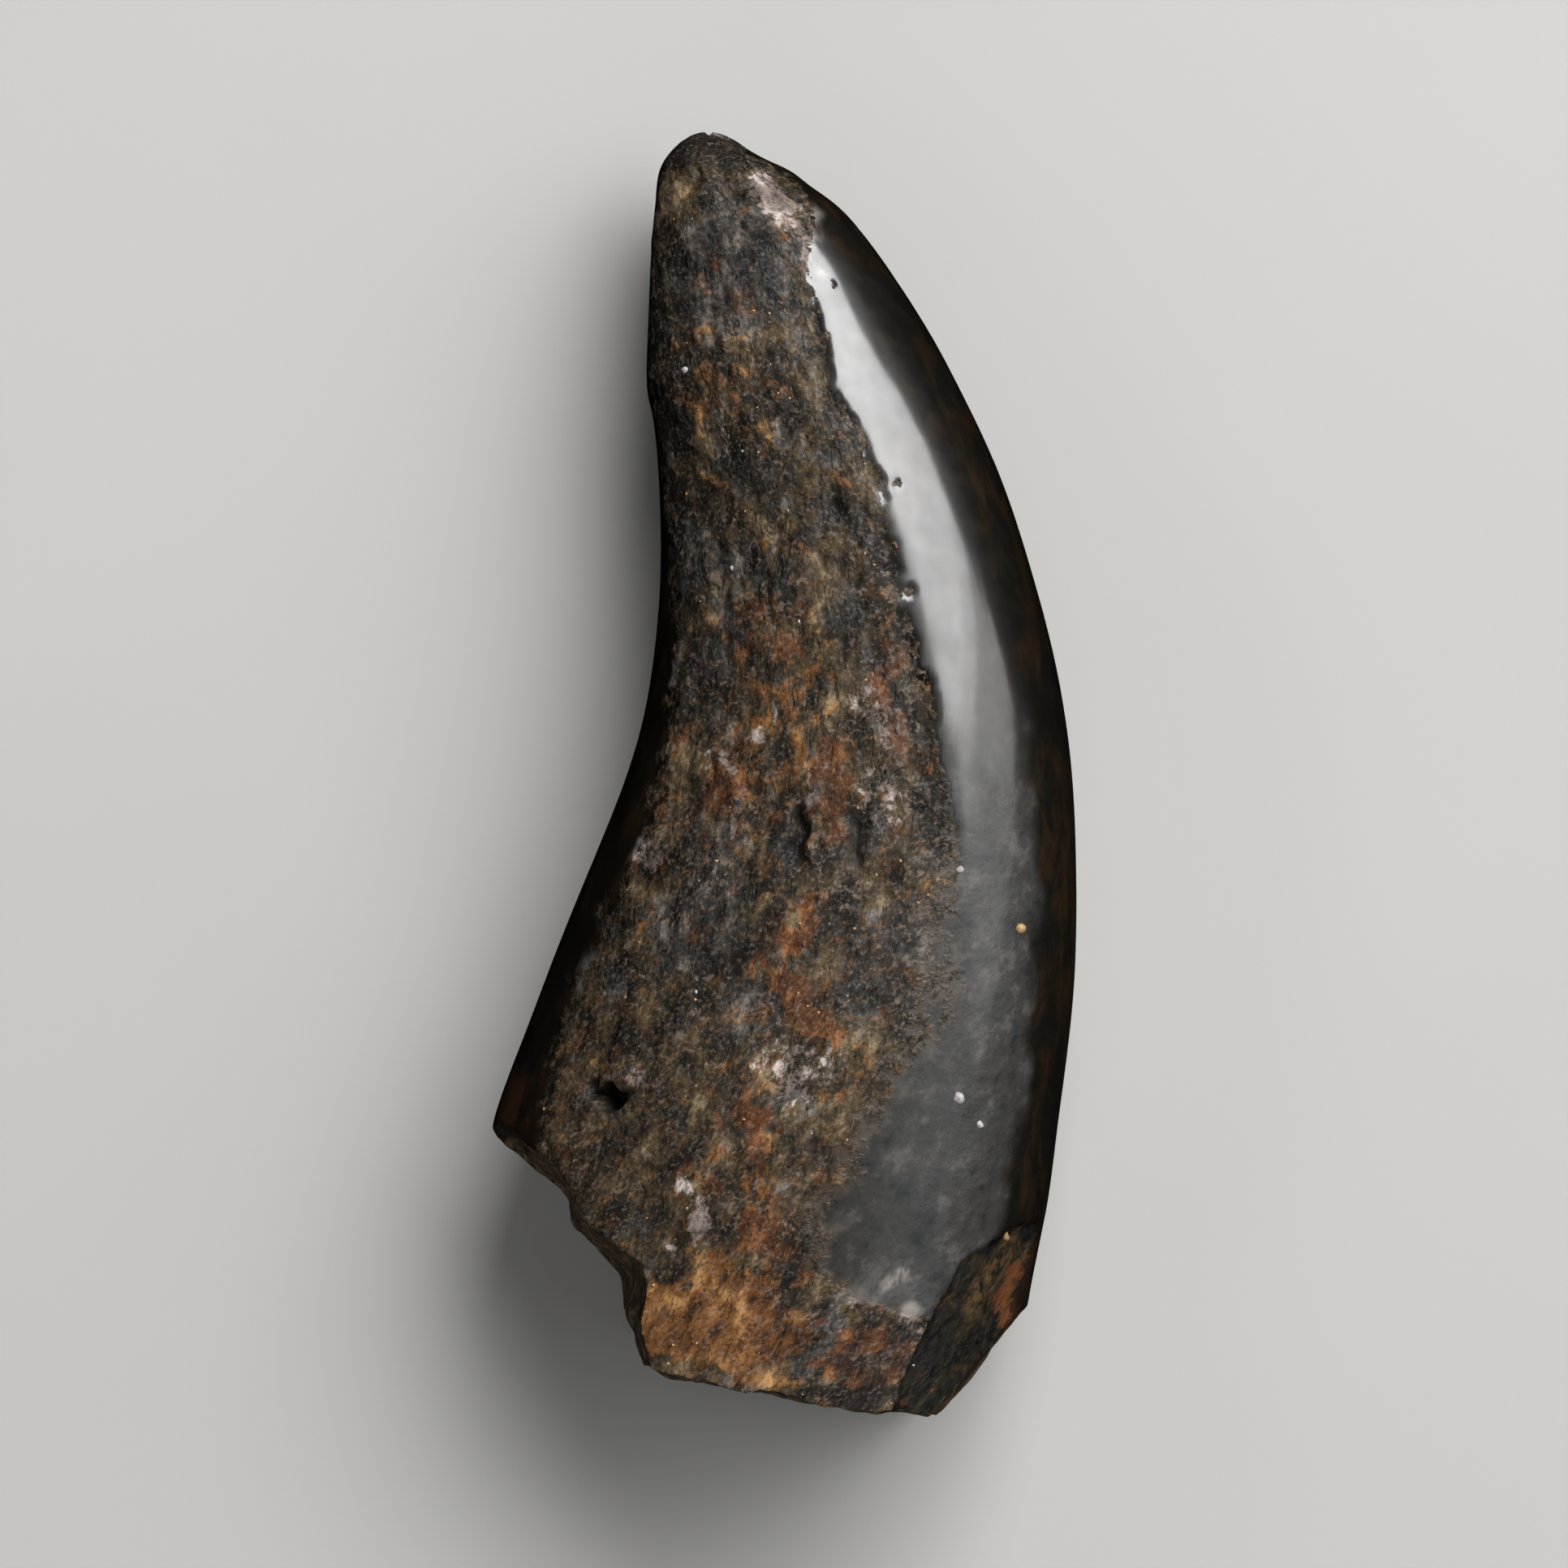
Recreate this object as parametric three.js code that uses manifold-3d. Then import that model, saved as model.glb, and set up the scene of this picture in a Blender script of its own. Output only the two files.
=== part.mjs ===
// Fossil tyrannosaur tooth: a broken, worn crown lying on its side.
// Millimetres, +Z up. X runs from the concave (rear) edge to the convex (front) edge,
// Y from the broken base to the worn tip. The origin is below the middle, on the resting plane.

import * as THREE from 'three';
import { mergeVertices } from 'three/addons/utils/BufferGeometryUtils.js';
import Module from 'manifold-3d';

const wasm = await Module();
wasm.setup();

const { lerp, smoothstep, clamp } = THREE.MathUtils;

// ---- Driving sizes: the crown ----------------------------------------------------------------

// The crown is lofted between four rails that meet at the tip. Each rail has one entry for each
// station, from just past the broken base up to just short of the tip.
const CONCAVE_EDGE = [
  [-23.2, -44.0], [-22.6, -37.8], [-21.9, -31.7], [-21.0, -27.4], [-20.4, -24.2], [-18.3, -18.5],
  [-15.9, -12.2], [-13.2, -5.6], [-10.4, 2.1], [-9.1, 9.6], [-8.8, 16.4], [-9.2, 23.9],
  [-9.75, 26.9], [-9.7, 31.3], [-9.5, 36.5], [-9.1, 41.0], [-8.2, 43.6],
];
const CONVEX_EDGE = [
  [14.8, -53.0], [16.0, -45.8], [17.2, -37.4], [18.5, -30.8], [19.3, -24.8], [20.3, -16.8],
  [20.6, -8.2], [20.2, 0.4], [19.1, 7.6], [17.4, 14.2], [15.1, 21.0], [12.3, 27.0],
  [10.0, 31.3], [7.3, 35.5], [4.2, 39.4], [0.9, 41.9], [-2.2, 43.7],
];
const CREST_HEIGHT = [
  24.0, 24.4, 24.9, 25.2, 25.3, 25.2, 24.9, 24.4, 23.7, 22.7, 21.4, 19.9, 18.6, 17.0, 15.2, 12.8, 10.9,
];
const BELLY_HEIGHT = [
  -0.2, -0.25, -0.35, -0.45, -0.5, -0.5, -0.45, -0.4, -0.3, -0.1, 0.2, 0.6, 1.0, 1.6, 2.4, 3.7, 5.2,
];
const TIP = [-5.4, 45.0, 8.0];

const WIDEST_AT_BASE = 12.0;      // height at which the crown is widest
const WIDEST_AT_TIP = 8.0;
const CREST_SKEW = 0.14;          // the crest lies nearer the front edge, as a share of half the width
const FRONT_ROUNDNESS = 2.35;     // superellipse power of the full front flank
const REAR_ROUNDNESS = 1.95;      // superellipse power of the slimmer rear flank

// A low, worn cutting edge (carina) runs down each side, on the under half.
const CARINA_ANGLES = [-0.35, -2.85];
const CARINA_HALF_ANGLE = 0.14;
const CARINA_HEIGHT = 0.4;

// ---- Driving sizes: breaks -------------------------------------------------------------------

// The lower rear corner is broken away: [y, x of the lower lip, x of the upper lip].
const REAR_BREAK = [
  [-24.0, -24.0, -22.0], [-24.9, -20.7, -17.4], [-25.6, -20.4, -16.2], [-26.6, -19.6, -15.6],
  [-28.8, -16.8, -14.5], [-30.4, -15.2, -14.1], [-32.0, -14.8, -13.6], [-33.0, -14.0, -11.8],
  [-34.4, -12.8, -9.8], [-35.7, -11.5, -9.5], [-38.2, -11.4, -10.2], [-39.4, -10.7, -9.9],
  [-41.4, -10.2, -9.4], [-55.0, -9.6, -8.8],
];
const REAR_BREAK_LEVELS = [       // [height, share of the way from the lower to the upper lip]
  [-3, 0.35], [12, 0], [17, 0.45], [21, 0.85], [24, 1], [32, 1.1],
];

// The lower front corner is chipped off along a steep wall below the line through these ends:
// each level has its height and how far the wall leans inwards there.
const FRONT_CHIP_ENDS = [[17.3, -37.6], [11.3, -45.2]];
const FRONT_CHIP_LEVELS = [[-3, 0.8], [9, 0], [15, 0.1], [20, 1.1], [32, 3.5]];
const FRONT_CHIP_SHARES = [-1.6, 0.5, 1.9];   // the wall runs past both ends, as shares of the line
// Above the chip a flake has come off the upper face, below this line between two points: first a
// small step down, then a slope towards the chip.
const FLAKE_LINE = [[9.3, -38.3], [16.8, -31.1]];
const FLAKE_SIDE = [[7.0, -46.0], [9.3, -38.3]];
const FLAKE_STEP = 0.5;
const FLAKE_SLOPE = 0.22;

// The broken base, seen from above: [x, y]. It is slightly bowed, and a little uneven.
const BASE_BREAK = [
  [-30.0, -35.5], [-12.0, -40.8], [-8.4, -41.9], [-3.8, -43.0], [3.0, -44.2], [11.1, -44.9], [24.0, -45.4],
];
const BASE_LEVELS = [-3, 3, 8, 12, 16, 21, 28];
const BASE_RELIEF = 0.35;
const BASE_WAVES = [[0.55, 0.4, 0], [-0.3, 0.45, 1.2]];   // radians per mm of x and z, and phase

// The pulp cavity shows in the base as a shallow hollow, filled to near the break.
const PULP_CENTRE = [0.8, -43.8, 12.0];
const PULP_RADII = [5.4, 2.2, 4.2];

// ---- Driving sizes: weathering of the upper face -----------------------------------------------

// The enamel is gone between these two borders, given as [y, x], where the face looks upwards.
const WEATHERED_REAR = [
  [-46.0, -16.0], [-27.0, -16.0], [-24.0, -15.4], [-20.0, -15.0], [-14.8, -14.2], [-10.0, -12.2],
  [-5.6, -9.9], [3.5, -7.5], [8.5, -7.6], [20.0, -7.7], [31.3, -8.2], [38.0, -7.8], [46.0, -7.2],
];
const WEATHERED_FRONT = [
  [-46.0, 12.0], [-38.0, 8.8], [-35.1, 1.9], [-30.6, 1.9], [-26.0, 5.3], [-17.4, 9.9],
  [-7.6, 11.6], [-3.0, 11.9], [1.0, 11.0], [6.1, 10.5], [10.7, 9.3], [15.3, 8.2], [19.9, 7.3],
  [23.9, 5.3], [26.8, 3.6], [31.3, 3.0], [37.1, 1.3], [43.4, -3.5], [46.0, -5.0],
];
const WEATHERED_FACING = [0.12, 0.5];   // upward parts of the normal where wear starts and is full
const TIP_FADE = [2.5, 0.5];      // wear fades out between these numbers of stations from the tip
const ENAMEL_HEIGHT = 0.45;       // height of the enamel's front edge over the weathered face
const FRONT_EDGE_WIDTH = 0.8;
const FRONT_EDGE_WAVES = [[0.4, 1.7, 0.3], [0.25, 3.1, 1.1]];   // height, radians per mm, phase
const REAR_EDGE_WIDTH = 2.2;      // the rear edge is worn to a slope

// Slow waves of the weathered face. Each is a product of two sines, given by radians per mm of
// x and of y, and a phase.
const LUMP_HEIGHT = 0.17;
const LUMP_WAVES = [
  [[0.62, 0.21, 0.7], [-0.25, 0.34, 1.9]],
  [[1.35, -0.5, 2.1], [0.45, 0.92, 0.4]],
];

// Pits and lumps: [x, y, radius, depth]. A lump has a negative depth.
const PITS = [
  [-12.4, -22.8, 1.7, 1.5], [-11.0, -21.4, 1.4, -0.5], [-2.4, -37.1, 1.1, 0.6],
  [3.6, 18.2, 1.2, 0.6], [-1.0, 24.8, 1.1, 0.5], [9.3, -3.0, 1.2, 0.6], [11.0, -5.6, 1.1, 0.5],
  [-4.6, 15.0, 1.2, 0.4], [6.2, 8.0, 1.3, 0.4],
];
// Grooves and ridges: [x, y, x, y, half width, depth]. A ridge has a negative depth.
const GROOVES = [
  [1.0, -2.6, 0.4, -7.0, 1.0, 0.9], [4.6, -2.6, 5.0, -7.2, 0.9, 0.6],
  [-5.0, 1.4, -3.4, -2.0, 0.9, -0.5], [-3.4, -2.0, -2.8, -6.0, 0.9, -0.4],
  [2.4, -1.3, 2.5, -6.5, 0.8, -0.5], [-6.4, -29.2, -6.3, -33.6, 0.9, -0.4],
  [5.3, 5.2, 6.6, 0.8, 0.9, -0.45],
];

// ---- Mesh density ------------------------------------------------------------------------------

const RINGS = 66;                 // from base to tip
const UPPER_SEGMENTS = 46;        // around the upper half
const LOWER_SEGMENTS = 24;        // around the lower half
const CAVITY_SEGMENTS = [24, 12];
const MERGE_DISTANCE = 1e-5;
const NORMAL_STEP = 0.01;         // in stations and radians
const CUT_REACH = 40;             // how far a cutter runs behind its wall

// ---- Curves --------------------------------------------------------------------------------------

// A smooth curve through the values, at a whole or part index.
function smoothThrough(values, index) {
  const last = values.length - 1;
  const low = clamp(Math.floor(index), 0, last - 1);
  const f = index - low;
  const at = (i) => values[clamp(i, 0, last)];
  const [a, b, c, d] = [at(low - 1), at(low), at(low + 1), at(low + 2)];
  const curve = [2 * b, c - a, 2 * a - 5 * b + 4 * c - d, 3 * b - a - 3 * c + d];
  return 0.5 * (curve[0] + f * (curve[1] + f * (curve[2] + f * curve[3])));
}

// Straight-line lookup in rows that begin with y, in falling or rising order.
function lookup(rows, y, column = 1) {
  const rising = rows[0][0] < rows[rows.length - 1][0] ? rows : [...rows].reverse();
  if (y <= rising[0][0]) return rising[0][column];
  for (let i = 1; i < rising.length; i++) {
    const [low, high] = [rising[i - 1], rising[i]];
    if (y <= high[0]) return lerp(low[column], high[column], (y - low[0]) / (high[0] - low[0]));
  }
  return rising[rising.length - 1][column];
}

// 1 at the middle, falling smoothly to 0 at the radius.
function bump(distance, radius) {
  const near = Math.max(0, 1 - (distance / radius) ** 2);
  return near * near;
}

// ---- The crown -------------------------------------------------------------------------------------

const STATION_COUNT = CONCAVE_EDGE.length;

// Two rails that meet at the tip are one curve over it, so that the tip is round.
function railPair(first, tip, second) {
  return [...first, tip, ...[...second].reverse()];
}

const edgeX = railPair(CONCAVE_EDGE.map((p) => p[0]), TIP[0], CONVEX_EDGE.map((p) => p[0]));
const edgeY = railPair(CONCAVE_EDGE.map((p) => p[1]), TIP[1], CONVEX_EDGE.map((p) => p[1]));
const heights = railPair(CREST_HEIGHT, TIP[2], BELLY_HEIGHT);

// A point of the crown before weathering. The angle is 0 at the front edge and pi at the rear
// one, so it is positive over the upper face and negative below.
function crownPoint(station, angle) {
  const mirrored = 2 * STATION_COUNT - station;
  const crest = smoothThrough(heights, station);
  const belly = smoothThrough(heights, mirrored);
  const widest = lerp(WIDEST_AT_BASE, WIDEST_AT_TIP, station / STATION_COUNT);

  const across = Math.cos(angle);
  const power = 2 / lerp(REAR_ROUNDNESS, FRONT_ROUNDNESS, smoothstep(across, -1, 1));
  const height = Math.abs(Math.sin(angle)) ** power;
  const side = Math.sign(across) * Math.abs(across) ** power;
  const share = (1 + clamp(side + CREST_SKEW * height * height, -1, 1)) / 2;
  return new THREE.Vector3(
    lerp(smoothThrough(edgeX, station), smoothThrough(edgeX, mirrored), share),
    lerp(smoothThrough(edgeY, station), smoothThrough(edgeY, mirrored), share),
    lerp(widest, angle >= 0 ? crest : belly, height),
  );
}

function crownNormal(station, angle) {
  const along = crownPoint(station + NORMAL_STEP, angle).sub(crownPoint(station - NORMAL_STEP, angle));
  const around = crownPoint(station, angle + NORMAL_STEP).sub(crownPoint(station, angle - NORMAL_STEP));
  return along.cross(around).normalize();
}

// ---- Weathering ------------------------------------------------------------------------------------

// The product of sines at u, v, each given by radians per mm of u and of v, and a phase.
function waveProduct(waves, u, v) {
  return waves.reduce((product, [perU, perV, phase]) => product * Math.sin(perU * u + perV * v + phase), 1);
}

function lumps(x, y) {
  return LUMP_HEIGHT * LUMP_WAVES.reduce((sum, waves) => sum + waveProduct(waves, x, y), 0);
}

function distanceToLine(x, y, [x0, y0, x1, y1]) {
  const [dx, dy] = [x1 - x0, y1 - y0];
  const f = clamp(((x - x0) * dx + (y - y0) * dy) / (dx * dx + dy * dy), 0, 1);
  return Math.hypot(x - x0 - f * dx, y - y0 - f * dy);
}

// Distance past a line through two points, on its right hand as seen from the first.
function beyondLine(x, y, [[ax, ay], [bx, by]]) {
  return ((x - ax) * (by - ay) - (y - ay) * (bx - ax)) / Math.hypot(bx - ax, by - ay);
}

// How far the weathering lowers the upper face at x, y.
function weatheredDepth(x, y) {
  const ragged = FRONT_EDGE_WAVES
    .reduce((sum, [height, perY, phase]) => sum + height * Math.sin(perY * y + phase), 0);
  const fromFront = (lookup(WEATHERED_FRONT, y) + ragged - x) / FRONT_EDGE_WIDTH;
  const fromRear = (x - lookup(WEATHERED_REAR, y)) / REAR_EDGE_WIDTH;
  const inside = smoothstep(fromFront, 0, 1) * smoothstep(fromRear, 0, 1);
  const pastFlakeEdge = Math.min(beyondLine(x, y, FLAKE_LINE), beyondLine(x, y, FLAKE_SIDE));
  const flake = smoothstep(pastFlakeEdge / FRONT_EDGE_WIDTH, 0, 1);
  const flakeDepth = FLAKE_STEP + FLAKE_SLOPE * Math.max(0, pastFlakeEdge);
  let depth = lerp(inside * (ENAMEL_HEIGHT + lumps(x, y)), flakeDepth, flake);
  for (const [px, py, radius, pit] of PITS) depth += pit * bump(Math.hypot(x - px, y - py), radius);
  for (const groove of GROOVES) depth += groove[5] * bump(distanceToLine(x, y, groove), groove[4]);
  return depth;
}

function carinaHeight(angle) {
  return CARINA_HEIGHT * CARINA_ANGLES.reduce((sum, at) => sum + bump(angle - at, CARINA_HALF_ANGLE), 0);
}

function surfacePoint(station, angle) {
  const point = crownPoint(station, angle);
  const normal = crownNormal(station, angle);
  const nearTip = smoothstep(station, STATION_COUNT - TIP_FADE[0], STATION_COUNT - TIP_FADE[1]);
  const facingUp = smoothstep(normal.z, ...WEATHERED_FACING);
  const lowered = facingUp * weatheredDepth(point.x, point.y);
  point.addScaledVector(normal, (carinaHeight(angle) - lowered) * (1 - nearTip));
  point.z = Math.max(point.z, 0);   // the worn belly that it lies on
  return point;
}

// ---- Solids ------------------------------------------------------------------------------------------

function solidFrom(points, faces) {
  const geometry = new THREE.BufferGeometry();
  const position = new Float32Array(points.flatMap((p) => [p.x, p.y, p.z]));
  geometry.setAttribute('position', new THREE.BufferAttribute(position, 3));
  geometry.setIndex(faces);
  return solidOf(geometry);
}

function solidOf(geometry) {
  geometry.deleteAttribute('normal');
  geometry.deleteAttribute('uv');
  const merged = mergeVertices(geometry, MERGE_DISTANCE);
  return new wasm.Manifold(new wasm.Mesh({
    numProp: 3,
    vertProperties: new Float32Array(merged.attributes.position.array),
    triVerts: new Uint32Array(merged.index.array),
  }));
}

function crownSolid() {
  const angles = [
    ...Array.from({ length: UPPER_SEGMENTS }, (_, i) => (Math.PI * i) / UPPER_SEGMENTS),
    ...Array.from({ length: LOWER_SEGMENTS }, (_, i) => Math.PI * (i / LOWER_SEGMENTS - 1)),
  ];
  const count = angles.length;
  const points = [];
  const faces = [];
  for (let ring = 0; ring < RINGS; ring++) {
    const station = (STATION_COUNT * ring) / RINGS;
    points.push(...angles.map((angle) => surfacePoint(station, angle)));
  }
  const tip = points.push(new THREE.Vector3(...TIP)) - 1;
  const base = points.push(points.slice(0, count)
    .reduce((sum, p) => sum.add(p), new THREE.Vector3()).divideScalar(count)) - 1;
  for (let i = 0; i < count; i++) {
    const j = (i + 1) % count;
    for (let ring = 0; ring < RINGS - 1; ring++) {
      const [from, to] = [ring * count, (ring + 1) * count];
      faces.push(from + i, to + j, from + j, from + i, to + i, to + j);
    }
    const last = (RINGS - 1) * count;
    faces.push(last + j, last + i, tip, i, j, base);
  }
  return solidFrom(points, faces);
}

// What lies behind a wall, as a closed solid: the wall is rows of points, and push points
// away from the tooth. Rows and columns run so that the wall faces the tooth.
function behindWall(wall, push) {
  const columns = wall[0].length;
  const front = wall.flat();
  const back = front.map((p) => p.clone().add(push));
  const faces = [];
  const quad = (a, b, c, d) => faces.push(a, b, c, a, c, d);
  const at = (row, column) => row * columns + column;
  const rows = wall.length;
  const shift = front.length;
  for (let r = 0; r < rows - 1; r++) {
    for (let c = 0; c < columns - 1; c++) {
      quad(at(r, c), at(r, c + 1), at(r + 1, c + 1), at(r + 1, c));
      quad(at(r, c) + shift, at(r + 1, c) + shift, at(r + 1, c + 1) + shift, at(r, c + 1) + shift);
    }
    quad(at(r, 0), at(r + 1, 0), at(r + 1, 0) + shift, at(r, 0) + shift);
    const end = columns - 1;
    quad(at(r + 1, end), at(r, end), at(r, end) + shift, at(r + 1, end) + shift);
  }
  for (let c = 0; c < columns - 1; c++) {
    const top = rows - 1;
    quad(at(0, c + 1), at(0, c), at(0, c) + shift, at(0, c + 1) + shift);
    quad(at(top, c), at(top, c + 1), at(top, c + 1) + shift, at(top, c) + shift);
  }
  return solidFrom([...front, ...back], faces);
}

function rearBreak() {
  const wall = REAR_BREAK_LEVELS.map(([z, share]) => REAR_BREAK
    .map(([y, lower, upper]) => new THREE.Vector3(lerp(lower, upper, share), y, z)).reverse());
  return behindWall(wall, new THREE.Vector3(-CUT_REACH, 0, 0));
}

function frontChip() {
  const [top, bottom] = FRONT_CHIP_ENDS.map(([x, y]) => new THREE.Vector3(x, y, 0));
  const along = bottom.clone().sub(top);
  const inward = new THREE.Vector3(along.y, -along.x, 0).normalize();
  const wall = FRONT_CHIP_LEVELS.map(([z, inset]) => FRONT_CHIP_SHARES.map((share) => top.clone()
    .addScaledVector(along, share).addScaledVector(inward, inset).setZ(z)));
  return behindWall(wall, new THREE.Vector3(CUT_REACH, -CUT_REACH, 0));
}

function baseBreak() {
  const wall = BASE_LEVELS.map((z) => BASE_BREAK.map(([x, y]) => {
    const relief = BASE_RELIEF * waveProduct(BASE_WAVES, x, z);
    return new THREE.Vector3(x, y + relief, z);
  }).reverse());
  return behindWall(wall, new THREE.Vector3(0, -CUT_REACH, 0));
}

function pulpCavity() {
  const ball = new THREE.SphereGeometry(1, ...CAVITY_SEGMENTS);
  ball.scale(...PULP_RADII).translate(...PULP_CENTRE);
  return solidOf(ball);
}

function geometryOf(solid) {
  const { vertProperties, triVerts } = solid.getMesh();
  const geometry = new THREE.BufferGeometry();
  geometry.setAttribute('position', new THREE.BufferAttribute(new Float32Array(vertProperties), 3));
  geometry.setIndex([...triVerts]);
  geometry.computeVertexNormals();
  return geometry;
}

// ---- Scene graph ---------------------------------------------------------------------------------------

const fossilMaterial = new THREE.MeshStandardMaterial({
  name: 'fossil', color: 0x4a4036, roughness: 0.45, metalness: 0,
});

const brokenCrown = crownSolid()
  .subtract(rearBreak())
  .subtract(frontChip())
  .subtract(baseBreak())
  .subtract(pulpCavity());

const tooth = new THREE.Mesh(geometryOf(brokenCrown), fossilMaterial);
tooth.name = 'tooth';

const group = new THREE.Group();
group.add(tooth);

export default group;
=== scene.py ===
"""Looks of the fossil tyrannosaur tooth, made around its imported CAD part.

Lengths are millimetres up to the last step of each mesh, which hands Blender metres.
X runs from the concave (rear) edge to the convex (front) edge, Y from the broken base to the
worn tip, and Z up from the resting plane.
"""

import math

import bmesh
import bpy
import numpy as np
from mathutils import Matrix, Vector
from mathutils.bvhtree import BVHTree


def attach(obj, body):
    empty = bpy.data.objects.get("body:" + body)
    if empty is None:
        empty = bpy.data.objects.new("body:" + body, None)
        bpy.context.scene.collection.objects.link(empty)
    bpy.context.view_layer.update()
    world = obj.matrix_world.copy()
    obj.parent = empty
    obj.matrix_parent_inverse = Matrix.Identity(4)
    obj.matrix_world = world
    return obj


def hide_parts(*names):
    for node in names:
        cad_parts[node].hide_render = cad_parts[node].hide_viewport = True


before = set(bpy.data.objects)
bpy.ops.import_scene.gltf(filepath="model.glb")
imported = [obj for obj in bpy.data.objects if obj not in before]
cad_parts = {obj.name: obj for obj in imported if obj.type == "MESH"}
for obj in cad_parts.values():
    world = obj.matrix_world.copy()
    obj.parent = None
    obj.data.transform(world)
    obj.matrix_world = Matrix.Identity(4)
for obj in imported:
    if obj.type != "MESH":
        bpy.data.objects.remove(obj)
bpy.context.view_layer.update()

MM = 0.001
SEED = 11

# ---- The crown's driving sizes, as in the CAD part ----

# Four rails that meet at the tip, with one entry for each station from the base up.
CONCAVE_EDGE = [
    (-23.2, -44), (-22.6, -37.8), (-21.9, -31.7), (-21, -27.4), (-20.4, -24.2), (-18.3, -18.5),
    (-15.9, -12.2), (-13.2, -5.6), (-10.4, 2.1), (-9.1, 9.6), (-8.8, 16.4), (-9.2, 23.9), (-9.75, 26.9),
    (-9.7, 31.3), (-9.5, 36.5), (-9.1, 41), (-8.2, 43.6),
]
CONVEX_EDGE = [
    (14.8, -53), (16, -45.8), (17.2, -37.4), (18.5, -30.8), (19.3, -24.8), (20.3, -16.8), (20.6, -8.2),
    (20.2, 0.4), (19.1, 7.6), (17.4, 14.2), (15.1, 21), (12.3, 27), (10, 31.3), (7.3, 35.5), (4.2, 39.4),
    (0.9, 41.9), (-2.2, 43.7),
]
CREST_HEIGHT = [
    24, 24.4, 24.9, 25.2, 25.3, 25.2, 24.9, 24.4, 23.7, 22.7, 21.4, 19.9, 18.6, 17, 15.2, 12.8, 10.9,
]
BELLY_HEIGHT = [
    -0.2, -0.25, -0.35, -0.45, -0.5, -0.5, -0.45, -0.4, -0.3, -0.1, 0.2, 0.6, 1, 1.6, 2.4, 3.7, 5.2,
]
TIP = (-5.4, 45.0, 8.0)
WIDEST_AT_BASE = 12.0
WIDEST_AT_TIP = 8.0
CREST_SKEW = 0.14
FRONT_ROUNDNESS = 2.35
REAR_ROUNDNESS = 1.95
CARINA_ANGLES = (-0.35, -2.85)
CARINA_HALF_ANGLE = 0.14
CARINA_HEIGHT = 0.4

# The broken rear corner: (y, x of the lower lip, x of the upper lip), and how the wall between
# the lips goes: (height, share of the way from the lower to the upper lip).
REAR_BREAK = [
    (-24, -24, -22), (-24.9, -20.7, -17.4), (-25.6, -20.4, -16.2), (-26.6, -19.6, -15.6),
    (-28.8, -16.8, -14.5), (-30.4, -15.2, -14.1), (-32, -14.8, -13.6), (-33, -14, -11.8),
    (-34.4, -12.8, -9.8), (-35.7, -11.5, -9.5), (-38.2, -11.4, -10.2), (-39.4, -10.7, -9.9),
    (-41.4, -10.2, -9.4), (-55, -9.6, -8.8),
]
REAR_BREAK_LEVELS = [(-3, 0.35), (12, 0.0), (17, 0.45), (21, 0.85), (24, 1.0), (32, 1.1)]

# The chipped front corner: the line of its wall, and how far the wall leans in at each height.
FRONT_CHIP_ENDS = ((17.3, -37.6), (11.3, -45.2))
FRONT_CHIP_LEVELS = [(-3, 0.8), (9, 0.0), (15, 0.1), (20, 1.1), (32, 3.5)]
FRONT_CHIP_SHARES = (-1.6, 1.9)

# The flake lost above the chip: its upper edge on the face, as (x, y).
FLAKE_OUTLINE = [
    (6.5, -47), (8.2, -41.6), (9.9, -38.4), (11.9, -34.8), (14.6, -32.6), (17.2, -31.7), (22, -31),
]
FLAKE_STEP = 0.5  # depth at its upper edge
FLAKE_SLOPE = 0.22  # further depth for each millimetre past it
FLAKE_ROUGHNESS = 0.6  # share of the weathered face's relief on it

# The broken base from above, as (x, y), and the filled pulp cavity in it.
BASE_BREAK = [
    (-30, -35.5), (-12, -40.8), (-8.4, -41.9), (-3.8, -43), (3, -44.2), (11.1, -44.9), (24, -45.4),
]
BREAK_HEIGHTS = (-3.0, 32.0)
REAR_ROUGHNESS = 0.3  # depth of the relief on its wall
CHIP_ROUGHNESS = 0.22
BASE_ROUGHNESS = 0.45
CLEAR = 40.0  # how far a cutter reaches out of the tooth
TALLEST = 25.2  # the most a wall takes up in the texture, bottom to top
PULP_CENTRE = (0.8, -43.8, 12.0)
PULP_RADII = (5.4, 2.2, 4.2)
PULP_SWELL = 0.18  # share of its radii by which its wall swells and shrinks
PULP_TONE = 0.5  # how hollow its wall counts for its colour
PULP_TEXTURE_SHIFT = 0.06

# ---- Weathering of the upper face ----

# The enamel is gone between these two borders, given as (y, x).
WEATHERED_REAR = [
    (-46, -17.4), (-27, -17.4), (-22, -16.8), (-19, -15.9), (-14.8, -14.7), (-10, -12.7), (-5.6, -10.3),
    (3.5, -8.1), (8.5, -7.9), (16, -8.2), (24, -9.2), (31.3, -10.2), (46, -10.2),
]
WEATHERED_FRONT = [
    (-46, 15), (-41, 14), (-39.2, 11.5), (-38, 9.2), (-36.4, 4.2), (-34.8, 2.2), (-30.6, 2.2), (-26, 4.7),
    (-17.4, 9.7), (-7.6, 11.2), (-3, 11.2), (1, 10.2), (6.1, 9.6), (10.7, 8.2), (15.3, 7.5), (19.9, 6.6),
    (23.9, 4.6), (26.8, 3.2), (31.3, 2.3), (34, 1.8), (37.1, 1.8), (40, 1.8), (42, 0.4), (43.6, -2.6),
    (46, -5),
]
# How wide the front border is, as (y, width).
FRONT_EDGE_WIDTH = [
    (-46, 2), (-37, 2.4), (-31, 5), (-14, 5.5), (-7, 2.2), (-1, 1.2), (46, 1.1),
]
REAR_EDGE_WIDTH = 2.4
REAR_EDGE_SHIFT = 0.35  # in widths, towards the rear
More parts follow.
